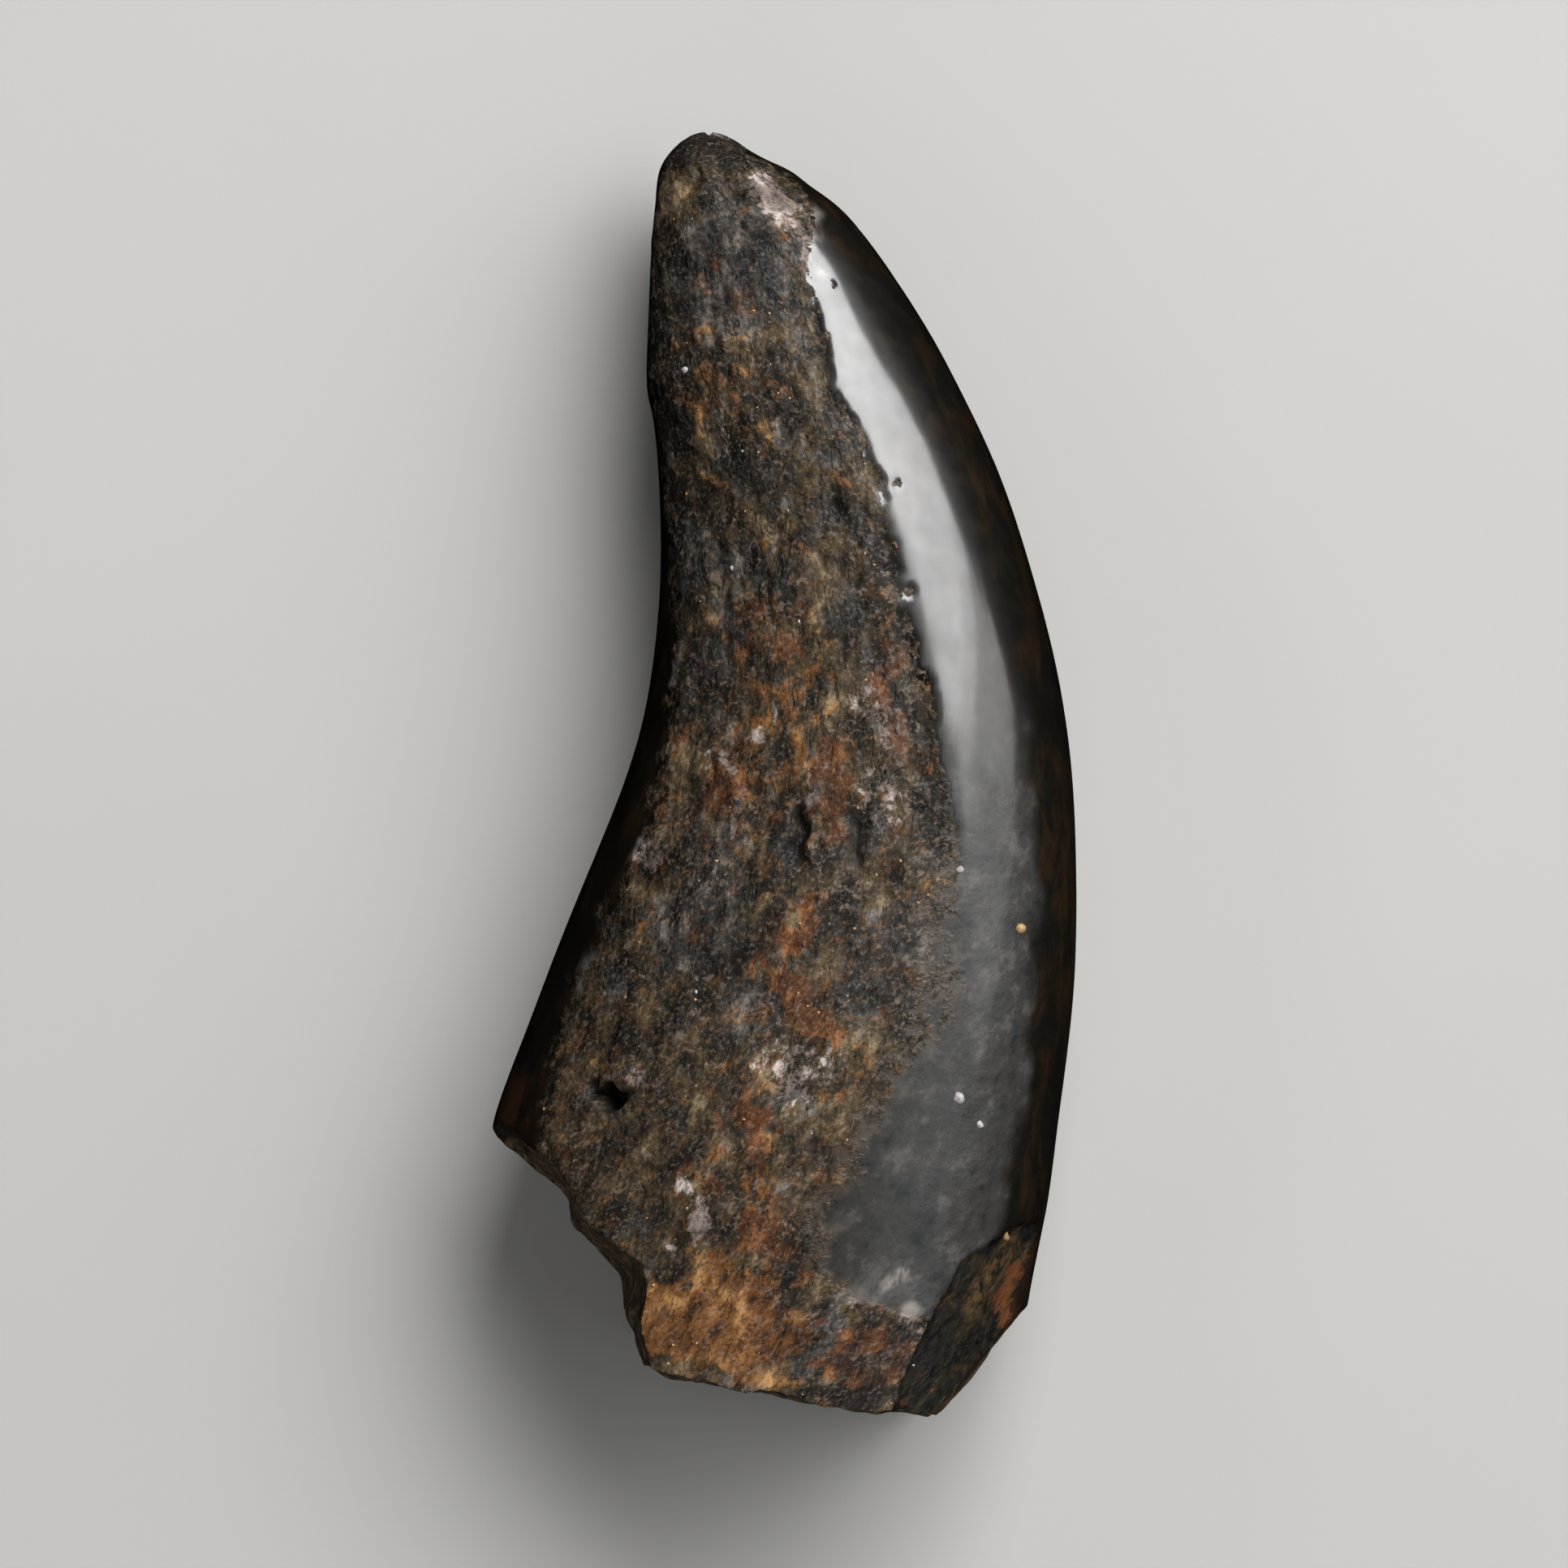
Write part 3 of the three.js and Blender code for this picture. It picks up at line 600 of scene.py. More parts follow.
def crown_object():
    stations = ring_stations()
    upper = np.pi * np.arange(UPPER_SEGMENTS) / UPPER_SEGMENTS
    lower = np.pi * (np.arange(LOWER_SEGMENTS) / LOWER_SEGMENTS - 1)
    angles = np.concatenate([upper, lower])
    count = len(angles)
    station, angle = np.meshgrid(stations, angles, indexing="ij")
    point, zones = weathered_surface(station, angle)

    points = point.reshape(-1, 3)
    tip = len(points)
    base = tip + 1
    points = np.concatenate([points, [TIP], [point[0].mean(0)]])
    flat = {name: np.append(value.ravel(), [value[-1].mean(), 0]) for name, value in zones.items()}

    around = np.arange(count)
    following = (around + 1) % count
    last = (RINGS - 1) * count
    faces = [*grid_faces(RINGS, count, closed=True)[:, ::-1].tolist()]
    faces += [[last + j, last + i, tip] for i, j in zip(around, following)]
    faces += [[i, j, base] for i, j in zip(around, following)]

    # The texture's seam is the front edge: each face's far side has the next column's place.
    upper_u = upper / np.pi * UPPER_SHARE
    lower_u = UPPER_SHARE + (lower / np.pi + 1) * (1 - UPPER_SHARE)
    u = np.concatenate([upper_u, lower_u, [1.0]]) * CROWN_GIRTH
    v = CROWN_LENGTH * np.append(np.arange(RINGS) / RINGS, 1.0)
    row, column = np.meshgrid(np.arange(RINGS - 1), around, indexing="ij")
    corner_rows = np.stack([row + 1, row + 1, row, row], -1).reshape(-1, 4)
    corner_columns = np.stack([column, column + 1, column + 1, column], -1).reshape(-1, 4)
    uv = [np.stack([u[corner_columns], v[corner_rows]], -1).reshape(-1, 2)]
    cap = np.stack([
        np.stack([u[around + 1], u[around], (u[around] + u[around + 1]) / 2], -1),
        np.stack([np.full(count, v[-2]), np.full(count, v[-2]), np.full(count, v[-1])], -1),
    ], -1).reshape(-1, 2)
    uv += [cap, np.zeros((3 * count, 2))]
    uv = np.concatenate(uv) * TEXTURE_SCALE + TEXTURE_MARGIN
    return make_object("tooth_surface", points, faces, uv, flat)


# ---- Breaks ----


def surface_tree(obj):
    bpy.context.view_layer.update()
    return BVHTree.FromObject(obj, bpy.context.evaluated_depsgraph_get())


def evenly(points, step):
    """Points at even steps along a line of straight stretches."""
    points = np.asarray(points, float)
    length = np.concatenate([[0], np.cumsum(np.linalg.norm(np.diff(points, axis=0), axis=1))])
    at = np.linspace(0, length[-1], max(2, round(length[-1] / step) + 1))
    return np.stack([np.interp(at, length, points[:, i]) for i in range(points.shape[1])], -1), at


def rim_strength(points, crown):
    """1 near the crown's sides and underside, fading to 0 inside it and towards its upper face."""
    nearest = [crown.find_nearest(Vector(point) * MM) for point in points]
    below = np.array([distance for *_, distance in nearest]) / MM
    upward = np.array([normal.z for _, normal, *_ in nearest])
    return smoothstep(below, 1.3, 0.5) * smoothstep(upward, 0.75, 0.45)


def break_zones(hollow, rim=0.0):
    zones = {zone: np.zeros(len(hollow)) for zone in ZONE_NAMES}
    zones["break"] += 1
    zones["rim"] += rim
    zones["hollow"] = np.clip(hollow, -1, 1)
    return zones


def cutter(name, wall, along, push, place, roughness, crown):
    """What lies behind a wall, as a closed solid. The wall's points are rows of rising height."""
    rows, columns = wall.shape[:2]
    sideways = np.gradient(wall, axis=1)
    facing = np.stack([sideways[..., 1], -sideways[..., 0], 0 * sideways[..., 2]], -1)
    facing /= np.linalg.norm(facing, axis=-1, keepdims=True)
    faces_tooth = np.dot(facing.mean((0, 1)), push) < 0
    into_tooth = facing if faces_tooth else -facing
    relief = fractal(wall, 3.6, 4, 0.5, shift=91.0)
    relief += 0.8 * cell_pits(wall, 1.5, 0.3, 6.0) + 0.3 * cell_pits(wall, 0.8, 0.3)
    front = wall + into_tooth * (roughness * relief)[..., None]
    points = np.concatenate([front.reshape(-1, 3), front.reshape(-1, 3) + push])
    shift = rows * columns
    quads = grid_faces(rows, columns)
    border = [*range(columns), *range(2 * columns - 1, shift, columns)]
    border += [*range(shift - 2, shift - columns - 1, -1), *range(shift - 2 * columns, 0, -columns)]
    sides = [[b, a, a + shift, b + shift] for a, b in zip(border, border[1:] + border[:1])]
    faces = [*quads.tolist(), *(quads[:, ::-1] + shift).tolist(), *sides]
    if not faces_tooth:
        faces = [face[::-1] for face in faces]
    flat_uv = np.stack([np.repeat(along[None, :], rows, 0), wall[..., 2].clip(0, TALLEST)], -1).reshape(-1, 2)
    corners = np.concatenate([np.array(face) for face in faces])
    uv = (np.concatenate([flat_uv, flat_uv]) * TEXTURE_SCALE + place)[corners]
    rim = rim_strength(front.reshape(-1, 3), crown)
    return make_object(name, points, faces, uv, break_zones(np.tile(relief.ravel(), 2), np.tile(rim, 2)))


def wall_heights():
    low, high = BREAK_HEIGHTS
    return np.linspace(low, high, round((high - low) / WALL_STEP) + 1)


def raised(x, y, heights):
    """A wall's points: one row for each height, from the rows of x and y or from one row for all."""
    return np.stack(np.broadcast_arrays(x, y, heights[:, None]), -1)


def rear_break(crown):
    levels, shares = np.array(REAR_BREAK_LEVELS, float).T
    lips, along = evenly([(lower, upper, y) for y, lower, upper in REAR_BREAK], WALL_STEP)
    heights = wall_heights()
    share = np.interp(heights, levels, shares)[:, None]
    wall = raised(mix(lips[:, 0], lips[:, 1], share), lips[:, 2], heights)
    return cutter("rear_break", wall, along, (-CLEAR, 0, 0), WALL_PLACES["rear"], REAR_ROUGHNESS, crown)


def front_chip(crown):
    top, bottom = np.array(FRONT_CHIP_ENDS)
    direction = bottom - top
    inward = np.array([direction[1], -direction[0]]) / np.linalg.norm(direction)
    ends = [top + direction * share for share in FRONT_CHIP_SHARES]
    line, along = evenly(ends, WALL_STEP)
    levels, insets = np.array(FRONT_CHIP_LEVELS, float).T
    heights = wall_heights()
    inset = np.interp(heights, levels, insets)[:, None]
    wall = raised(line[:, 0] + inward[0] * inset, line[:, 1] + inward[1] * inset, heights)
    return cutter("front_chip", wall, along, (CLEAR, -CLEAR, 0), WALL_PLACES["chip"], CHIP_ROUGHNESS, crown)


def base_break(crown):
    line, along = evenly(BASE_BREAK, WALL_STEP)
    wall = raised(*line.T, wall_heights())
    return cutter("base_break", wall, along, (0, -CLEAR, 0), WALL_PLACES["base"], BASE_ROUGHNESS, crown)


def pulp_cavity():
    ball = bmesh.new()
    bmesh.ops.create_icosphere(ball, subdivisions=5, radius=1)
    directions = np.array([v.co[:] for v in ball.verts])
    faces = [[v.index for v in face.verts] for face in ball.faces]
    ball.free()
    swell = 1 + PULP_SWELL * fractal(directions * PULP_RADII, 3.0, 4, shift=97.0)
    points = directions * swell[:, None] * PULP_RADII + PULP_CENTRE
    flat_uv = (points[:, [0, 2]] - (PULP_CENTRE[0], PULP_CENTRE[2])) * TEXTURE_SCALE + WALL_PLACES["pulp"]
    uv = flat_uv[np.array(faces).ravel()] + PULP_TEXTURE_SHIFT
    return make_object("pulp_cavity", points, faces, uv, break_zones(np.full(len(points), PULP_TONE)))


def cut(body, tools):
    """Takes the tools out of the body, for good."""
    for tool in tools:
        modifier = body.modifiers.new(tool.name, "BOOLEAN")
        modifier.operation = "DIFFERENCE"
        modifier.solver = "MANIFOLD"
        modifier.object = tool
    depsgraph = bpy.context.evaluated_depsgraph_get()
    result = bpy.data.meshes.new_from_object(
        body.evaluated_get(depsgraph), preserve_all_data_layers=True, depsgraph=depsgraph)
    body.modifiers.clear()
    body.data = result
    for tool in tools:
        bpy.data.objects.remove(tool)


SMALLEST_EDGE = 0.002  # shorter edges are closed up
SHARP_ANGLE = math.radians(58)  # edges that turn by more stay sharp


def wear_break_edges(mesh):
    """Rounds the edges of the breaks a little, and cleans the cut mesh."""
    bm = bmesh.new()
    bm.from_mesh(mesh)
    bmesh.ops.remove_doubles(bm, verts=bm.verts, dist=SMALLEST_EDGE * MM)
    bmesh.ops.dissolve_degenerate(bm, edges=bm.edges, dist=SMALLEST_EDGE * MM)
    many_sided = [face for face in bm.faces if len(face.verts) > 4]
    bmesh.ops.triangulate(bm, faces=many_sided)
    layer = bm.loops.layers.float["break"]
    broken = {face: face.loops[0][layer] > 0.5 for face in bm.faces}
    lips = [
        edge for edge in bm.edges
        if len(edge.link_faces) == 2 and broken[edge.link_faces[0]] != broken[edge.link_faces[1]]
    ]
    near = {vert for edge in lips for vert in edge.verts}
    for _ in range(2):
        bmesh.ops.smooth_vert(
            bm, verts=list(near), factor=0.5, use_axis_x=True, use_axis_y=True, use_axis_z=True)
        near |= {edge.other_vert(vert) for vert in near for edge in vert.link_edges}
    bmesh.ops.delete(bm, geom=[edge for edge in bm.edges if not edge.link_faces], context="EDGES")
    bmesh.ops.delete(bm, geom=[vert for vert in bm.verts if not vert.link_faces], context="VERTS")
    bm.to_mesh(mesh)
    bm.free()


def make_tooth():
    tooth = crown_object()
    crown = surface_tree(tooth)
    cut(tooth, [rear_break(crown), front_chip(crown), base_break(crown), pulp_cavity()])
    wear_break_edges(tooth.data)
    for polygon in tooth.data.polygons:
        polygon.use_smooth = True
    tooth.data.set_sharp_from_angle(angle=SHARP_ANGLE)
    tooth.name = "tooth_surface"
    return tooth


# ---- Grains of sediment stuck to the tooth ----

# The larger ones, each as (x, y, size, kind), then small ones strewn at random.
LARGE_GRAINS = [
    (16.4, -11.1, 0.46, "sand"), (12, -22.8, 0.46, "quartz"), (13.5, -24.7, 0.28, "quartz"),
    (12.1, -7, 0.32, "quartz"), (-3.7, 14, 0.2, "quartz"), (-7, 28, 0.26, "quartz"),
    (15.4, -32.6, 0.4, "sand"),
]
STREWN_GRAINS = 70
STREWN_OVER = (21, 45)  # half the width and half the length of the field they fall on
GRAIN_SIZES = (0.06, 0.14)
GRAIN_KINDS = {"sand": 0.2, "quartz": 0.7}
GRAIN_SUNK = 0.35  # share of its size that a grain sits below the surface
GRAIN_STRETCH = (0.7, 1.1)
GRAIN_RAGGED = 0.35
RAY_HEIGHT = 60  # height from which the grains fall


def make_grains(tooth):
    tree = surface_tree(tooth)
    spots = [(x, y, size, GRAIN_KINDS[kind]) for x, y, size, kind in LARGE_GRAINS]
    while len(spots) < len(LARGE_GRAINS) + STREWN_GRAINS:
        x, y = (random.uniform(-reach, reach) for reach in STREWN_OVER)
        worn, _ = wear_zones(np.array([x, y, OUTLINE_HEIGHT]))
        if worn > 0.5:
            spots.append((x, y, random.uniform(*GRAIN_SIZES), random.uniform(0, 0.6)))
    grains = bmesh.new()
    kinds = []
    for x, y, size, kind in spots:
        hit, normal, _, _ = tree.ray_cast(Vector((x, y, RAY_HEIGHT)) * MM, Vector((0, 0, -1)))
        if hit is None:
            continue
        verts = bmesh.ops.create_icosphere(grains, subdivisions=2, radius=1)["verts"]
        stretch = Vector(random.uniform(*GRAIN_STRETCH, 3))
        centre = hit / MM - normal * size * GRAIN_SUNK
        for vert in verts:
            ragged = 1 + GRAIN_RAGGED * float(noise(np.array(vert.co) + centre, 0.9))
            vert.co = (centre + vert.co * stretch * size * ragged) * MM
        kinds += [kind] * len(verts)
    mesh = bpy.data.meshes.new("sediment_grains")
    grains.to_mesh(mesh)
    grains.free()
    mesh.attributes.new("kind", "FLOAT", "POINT").data.foreach_set("value", kinds)
    for polygon in mesh.polygons:
        polygon.use_smooth = True
    return new_object("sediment_grains", mesh)


# ---- Materials ----


def colour(red, green, blue):
    """A display colour, 0 to 255, as the shader's linear one."""
    shares = [c / 255 for c in (red, green, blue)]
    return (*[c / 12.92 if c <= 0.04045 else ((c + 0.055) / 1.055) ** 2.4 for c in shares], 1.0)


class Value:
    """A number or a colour from a shader's nodes. Numbers can be added, subtracted and multiplied."""

    def __init__(self, shader, socket):
        self.shader = shader
        self.socket = socket

    def __add__(self, other):
        return self.shader.maths("ADD", self, other)

    def __sub__(self, other):
        return self.shader.maths("SUBTRACT", self, other)

    def __rsub__(self, other):
        return self.shader.maths("SUBTRACT", other, self)

    def __mul__(self, other):
        return self.shader.maths("MULTIPLY", self, other)

    def ramp(self, low, high, to_low=0.0, to_high=1.0):
        """Goes smoothly between two numbers while this value goes from low to high."""
        return self.shader.node("ShaderNodeMapRange", {
            "Value": self, "From Min": low, "From Max": high, "To Min": to_low, "To Max": to_high,
        }, interpolation_type="SMOOTHSTEP")


class Shader:
    """The nodes of one material. Sizes are millimetres on the object."""

    def __init__(self, name, curved=False):
        self.material = bpy.data.materials.new(name)
        self.material.use_nodes = True
        self.tree = self.material.node_tree
        place = self.node("ShaderNodeTexCoord", output="Object")
        self.place = self.node("ShaderNodeVectorMath", {0: place, "Scale": 1 / MM}, operation="SCALE")
        if curved:
            x, y, z = self.axes()
            off = y - CURVE_MIDDLE
            self.place = self.node("ShaderNodeCombineXYZ", {0: x + off * off * CURVE, 1: y, 2: z})

    def node(self, kind, inputs=(), output=0, **settings):
        """One output of a new node."""
        made = self.tree.nodes.new(kind)
        for key, value in settings.items():
            setattr(made, key, value)
        for key, value in dict(inputs).items():
            self.plug(value, made.inputs[key])
        return Value(self, made.outputs[output])

    def plug(self, value, socket):
        if isinstance(value, Value):
            self.tree.links.new(value.socket, socket)
        else:
            socket.default_value = value

    def set(self, **inputs):
        surface = self.tree.nodes["Principled BSDF"]
        for name, value in inputs.items():
            self.plug(value, surface.inputs[name.replace("_", " ")])

    def axes(self):
        return [self.node("ShaderNodeSeparateXYZ", {0: self.place}, output=axis) for axis in range(3)]

    def maths(self, operation, a, b=0.0):
        return self.node("ShaderNodeMath", {0: a, 1: b}, operation=operation)

    def zone(self, name):
        return self.node("ShaderNodeAttribute", output="Fac", attribute_name=name)

    def stretched(self, stretch, shift=0.0):
        """The place, with patterns longer along the tooth where stretch is below 1."""
        return self.node("ShaderNodeMapping", {
            "Vector": self.place, "Location": (shift,) * 3, "Scale": (1, stretch, 1)})

    def noise(self, size, octaves, roughness=0.55, distortion=0.0, stretch=1.0, shift=0.0):
        return self.node("ShaderNodeTexNoise", {
            "Vector": self.stretched(stretch, shift), "Scale": 1 / size, "Detail": octaves,
            "Roughness": roughness, "Distortion": distortion,
        }, output="Fac")

    def pattern(self, name):
        return self.noise(*PATTERNS[name])

    def cells(self, size, stretch):
        return self.node("ShaderNodeTexVoronoi", {"Vector": self.stretched(stretch), "Scale": 1 / size})

    def mix(self, share, a, b):
        return self.node("ShaderNodeMix", {0: share, 2: a, 3: b})

    def blend(self, share, a, b):
        """A mix of two colours."""
        return self.node("ShaderNodeMix", {0: share, 6: a, 7: b}, output=2, data_type="RGBA")

    def tones(self, value, stops):
        """A colour that passes from stop to stop as the value rises. Each stop is (value, colour)."""
        tone = stops[0][1]
        for (low, _), (high, shade) in zip(stops, stops[1:]):
            tone = self.blend(value.ramp(low, high), tone, shade)
        return tone


# The noise of each pattern: size, octaves, roughness, distortion, stretch and shift.
PATTERNS = {
    "worn grain": (2.3, 5, 0.69, 0.2, 0.7, 1),
    "pink flecks": (0.55, 2, 0.6, 0.3, 1, 39),
    "flecked areas": (4.0, 3, 0.5, 0, 1, 35),
    "speckle": (0.28, 2, 0.6, 0, 1, 37),
    "dark strokes": (0.8, 3, 0.6, 0.5, 0.4, 77),
    "border crumbs": (0.9, 3, 0.62, 0, 1, 47),
    "enamel streaks": (2.4, 4, 0.68, 0.3, 0.45, 41),
    "enamel bloom": (1.7, 5, 0.7, 0, 0.8, 43),
    "gloss clouds": (2.4, 5, 0.62, 0, 0.8, 83),
    "flake grain": (1.5, 4, 0.62, 0.4, 1, 53),
    "flake rust": (1.1, 3, 0.6, 0, 1, 55),
    "flake ochre": (0.9, 3, 0.6, 0, 1, 57),
    "dentine grain": (1.0, 4, 0.7, 0.3, 1, 59),
    "ring wobble": (4.0, 3, 0.6, 0, 1, 63),
    "rim": (0.8, 2, 0.6, 0, 1, 65),
    "enamel roughness": (1.6, 3, 0.6, 0, 1, 61),
    "worn roughness": (0.8, 3, 0.6, 0, 1, 67),
    "grain bumps": (0.75, 3, 0.62, 0, 0.55, 71),
    "wrinkle bumps": (0.9, 2, 0.6, 0, 0.25, 73),
    "frost bumps": (0.8, 3, 0.6, 0, 1, 79),
    "sand colour": (0.25, 3, 0.55, 0, 1, 3),
    "sand roughness": (0.2, 2, 0.55, 0, 1, 0),
    "floor": (60, 3, 0.5, 0, 1, 0),
}
CELL_SIZE = 0.6  # of the pitted grain of worn surfaces
CELL_STRETCH = 0.7

BLACK_ENAMEL = colour(16, 14, 10)
BROWN_ENAMEL = colour(35, 24, 13)
RED_ENAMEL = colour(52, 31, 17)
STAINED_ENAMEL = colour(76, 64, 52)
CHALKY_ENAMEL = colour(150, 142, 136)
# Painted shade, for hollows, dents and dark specks.
HOLLOW_SHADE = colour(9, 7, 5)
GRAIN_LIGHT = colour(150, 136, 122)
PINK_FLECKS = colour(140, 121, 106)
SAND = colour(176, 142, 92)
SAND_STAIN = colour(120, 92, 60)
QUARTZ = colour(178, 175, 174)
FLOOR_TONES = (colour(180, 179, 176), colour(186, 185, 182))


def stops(*rows):
    """Stops of a range of tones, from rows of (value, red, green, blue)."""
    return [(value, colour(*tone)) for value, *tone in rows]


# From the dark of the grain to the light.
WORN_TONES = stops(
    (0.32, 9, 6, 3), (0.42, 26, 20, 11), (0.50, 52, 41, 25), (0.58, 77, 62, 40), (0.70, 138, 118, 90))
# Stains, the pale one partly painted glints and the dark one partly painted shade, in this order: size of the
# blotches, values of their noise where they start and are full, strength, and tones.
STAINS = {
    "slate": (2.6, 0.54, 0.66, 0.85, stops((0.34, 16, 16, 16), (0.50, 50, 48, 46), (0.68, 120, 114, 109))),
    "ochre": (1.5, 0.57, 0.72, 0.9, stops((0.34, 56, 31, 9), (0.50, 116, 73, 32), (0.68, 186, 138, 84))),
    "rust": (1.6, 0.56, 0.70, 0.85, stops((0.34, 32, 15, 4), (0.50, 84, 47, 18), (0.68, 150, 94, 50))),
    "pale_and_glint": (0.6, 0.68, 0.84, 0.85, stops((0.34, 80, 68, 61), (0.50, 138, 123, 116), (0.66, 216, 203, 196))),
    "dark": (1.4, 0.61, 0.72, 0.85, stops((0.40, 8, 6, 4), (0.60, 28, 22, 14), (0.72, 66, 54, 40))),
}
STAIN_SHIFT = 13  # between the noises of two stains
# Greys of the dull enamel, partly a painted sheen.
DULL_ENAMEL_AND_SHEEN = stops((0.30, 33, 33, 33), (0.50, 51, 50, 49), (0.70, 80, 78, 76))
ZONE_PULL = 0.32  # how much a full zone adds to its blotches' noise
FLAKE_TONES = stops((0.36, 6, 5, 3), (0.50, 18, 15, 8), (0.66, 46, 38, 22))
FLAKE_OCHRE = colour(96, 72, 42)
FLAKE_RUST = colour(92, 52, 22)
RING_SPACING = 1.3  # of the dentine's growth rings, in millimetres
RING_SQUEEZE = 0.8  # height of a ring as a share of its width
RING_WOBBLE = 2.2
RING_CONTRAST = 0.03
GRAIN_HEIGHT = 0.18  # of the bumps on worn and broken surfaces, in millimetres
WRINKLE_HEIGHT = 0.008  # of the bumps on the enamel
FROST_HEIGHT = 0.06  # of the further bumps on the dull enamel
BORDER_CRUMBS = (0.8, 0.5)  # how far the enamel's border is ragged where it is sharp and where soft
BORDER_FADE = (0.12, 0.48)  # and over how much of the zone it fades
DULL_GLOSS = 0.36  # share of the clear coat on the dull enamel
CLOUDED_GLOSS = (0.2, 0.55)  # share of the coat that clouds take away, on glossy and on dull enamel
ENAMEL_IOR = 1.36
COAT_IOR = 1.6
COAT_ROUGHNESS = 0.145
BREAK_TONES = stops((0.34, 42, 33, 23), (0.50, 68, 53, 37), (0.68, 104, 82, 57))


def weathered_colour(shader, hollow, strokes):
    """Blotches of many browns, with the stains gathered in their zones (partly painted glints and shade),
    flecks, speckles, and painted shade in the hollows, dents and dark specks.
    """
    grain = shader.pattern("worn grain")
    tone = shader.tones(grain, WORN_TONES)
    for number, (stain, (size, low, high, strength, tones)) in enumerate(STAINS.items(), 1):
        blotches = shader.noise(size, 4, 0.67, 0.4, 0.85, STAIN_SHIFT * number)
        share = (blotches + shader.zone(stain) * ZONE_PULL).ramp(low, high, 0, strength)
        tone = shader.blend(share, tone, shader.tones(grain, tones))
    flecked = shader.pattern("flecked areas").ramp(0.38, 0.60, 0.1, 0.5)
    tone = shader.blend(shader.pattern("pink flecks").ramp(0.55, 0.70) * flecked, tone, PINK_FLECKS)
    speckle = shader.pattern("speckle")
    tone = shader.blend(speckle.ramp(0.52, 0.72, 0, 0.25), tone, GRAIN_LIGHT)
    # Painted shade: in dark specks, in the dark strokes that are also dents in the bumps, and deeper in the
    # hollows.
    tone = shader.blend(speckle.ramp(0.50, 0.28, 0, 0.5), tone, HOLLOW_SHADE)
    tone = shader.blend(strokes * 0.4, tone, HOLLOW_SHADE)
    return shader.blend(hollow.ramp(0.15, 0.9, 0, 0.85), tone, HOLLOW_SHADE)


def enamel_colour(shader):
    """Near-black with brown and red streaks, a grey that is partly a painted sheen where it is dull, and
    chalky spots.
    """
    streaks = shader.pattern("enamel streaks")
    tone = shader.blend(streaks.ramp(0.44, 0.70), BLACK_ENAMEL, BROWN_ENAMEL)
    tone = shader.blend(shader.zone("rust") * streaks.ramp(0.36, 0.56), tone, RED_ENAMEL)
    dull_mottle = shader.pattern("enamel bloom")
    # The grey, partly a painted sheen, stays off the flanks that turn away.
    inner = shader.zone("dull") * shader.zone("flank").ramp(0.9, 0.1)
    tone = shader.blend(inner, tone, shader.tones(dull_mottle, DULL_ENAMEL_AND_SHEEN))
    stained = (dull_mottle + shader.zone("worn")).ramp(0.5, 0.9, 0, 0.6)
    tone = shader.blend(stained * inner, tone, STAINED_ENAMEL)
    return shader.blend(shader.zone("pale_and_glint") * streaks.ramp(0.40, 0.55), tone, CHALKY_ENAMEL)


def flake_colour(shader):
    """Where the flake is lost: dark, with rust and ochre in their zones."""
    tone = shader.tones(shader.pattern("flake grain"), FLAKE_TONES)
    rusty = shader.pattern("flake rust") + shader.zone("rust") * 0.3
    tone = shader.blend(rusty.ramp(0.58, 0.84), tone, FLAKE_RUST)
    sandy = shader.zone("ochre") * shader.pattern("flake ochre").ramp(0.35, 0.65)
    return shader.blend(sandy, tone, FLAKE_OCHRE)


def dentine_colour(shader, hollow):
    """The inside of the tooth: growth rings around the filled pulp cavity, the enamel's dark rim, painted
    shade in the pits of the walls, and the pulp cavity's wall a little darker.
    """
    centre = Vector(PULP_CENTRE)
    centre.x += CURVE * (centre.y - CURVE_MIDDLE) ** 2
    x, _, z = shader.axes()
    across = (x - centre.x) * RING_SQUEEZE
    up = z - centre.z
    out = shader.maths("SQRT", across * across + up * up) + shader.pattern("ring wobble") * RING_WOBBLE
    rings = shader.maths("SINE", out * (2 * math.pi / RING_SPACING))
    tone = shader.tones(shader.pattern("dentine grain") + rings * RING_CONTRAST, BREAK_TONES)
    rim = shader.zone("rim") + shader.pattern("rim") * 0.4
    tone = shader.blend(rim.ramp(0.6, 0.8), tone, BROWN_ENAMEL)
    # Painted shade: the deeper the pits of a wall, the darker.
    return shader.blend(hollow.ramp(0.2, 1.0, 0, 0.8), tone, HOLLOW_SHADE)


def worn_share(shader, crumbs):
    """How far the enamel is gone, with a crumbly border that is blurred where the soft zone is full."""
    zone = shader.zone("worn")
    soft = shader.zone("soft")
    border = zone * (4.0 - zone * 4.0)
    ragged = zone + crumbs * border * soft.ramp(0, 1, *BORDER_CRUMBS)
    fade = soft.ramp(0, 1, *BORDER_FADE)
    return ragged.ramp(0.5 - fade, fade + 0.5)


def coat_weight(shader, matt):
    """The gloss of the enamel: less where it is dull, clouded, and none where it is gone."""
    dull = shader.zone("dull")
    clouds = shader.pattern("gloss clouds").ramp(0.70, 0.34) * dull.ramp(0, 1, *CLOUDED_GLOSS)
    return dull.ramp(0, 1, 1.0, DULL_GLOSS) * (1.0 - matt) * (1.0 - clouds)


def fine_relief(shader, matt, strokes):
    """Bumps finer than the mesh: grain where the surface is matt, faint wrinkles and frost on the enamel."""
    pitted = shader.cells(CELL_SIZE, CELL_STRETCH) - strokes
    grain = (shader.pattern("grain bumps") + pitted * 0.35) * GRAIN_HEIGHT
    frost = shader.pattern("frost bumps") * shader.zone("dull") * FROST_HEIGHT
    smooth = shader.pattern("wrinkle bumps") * WRINKLE_HEIGHT + frost
    return shader.node("ShaderNodeBump", {"Height": shader.mix(matt, smooth, grain), "Distance": MM})


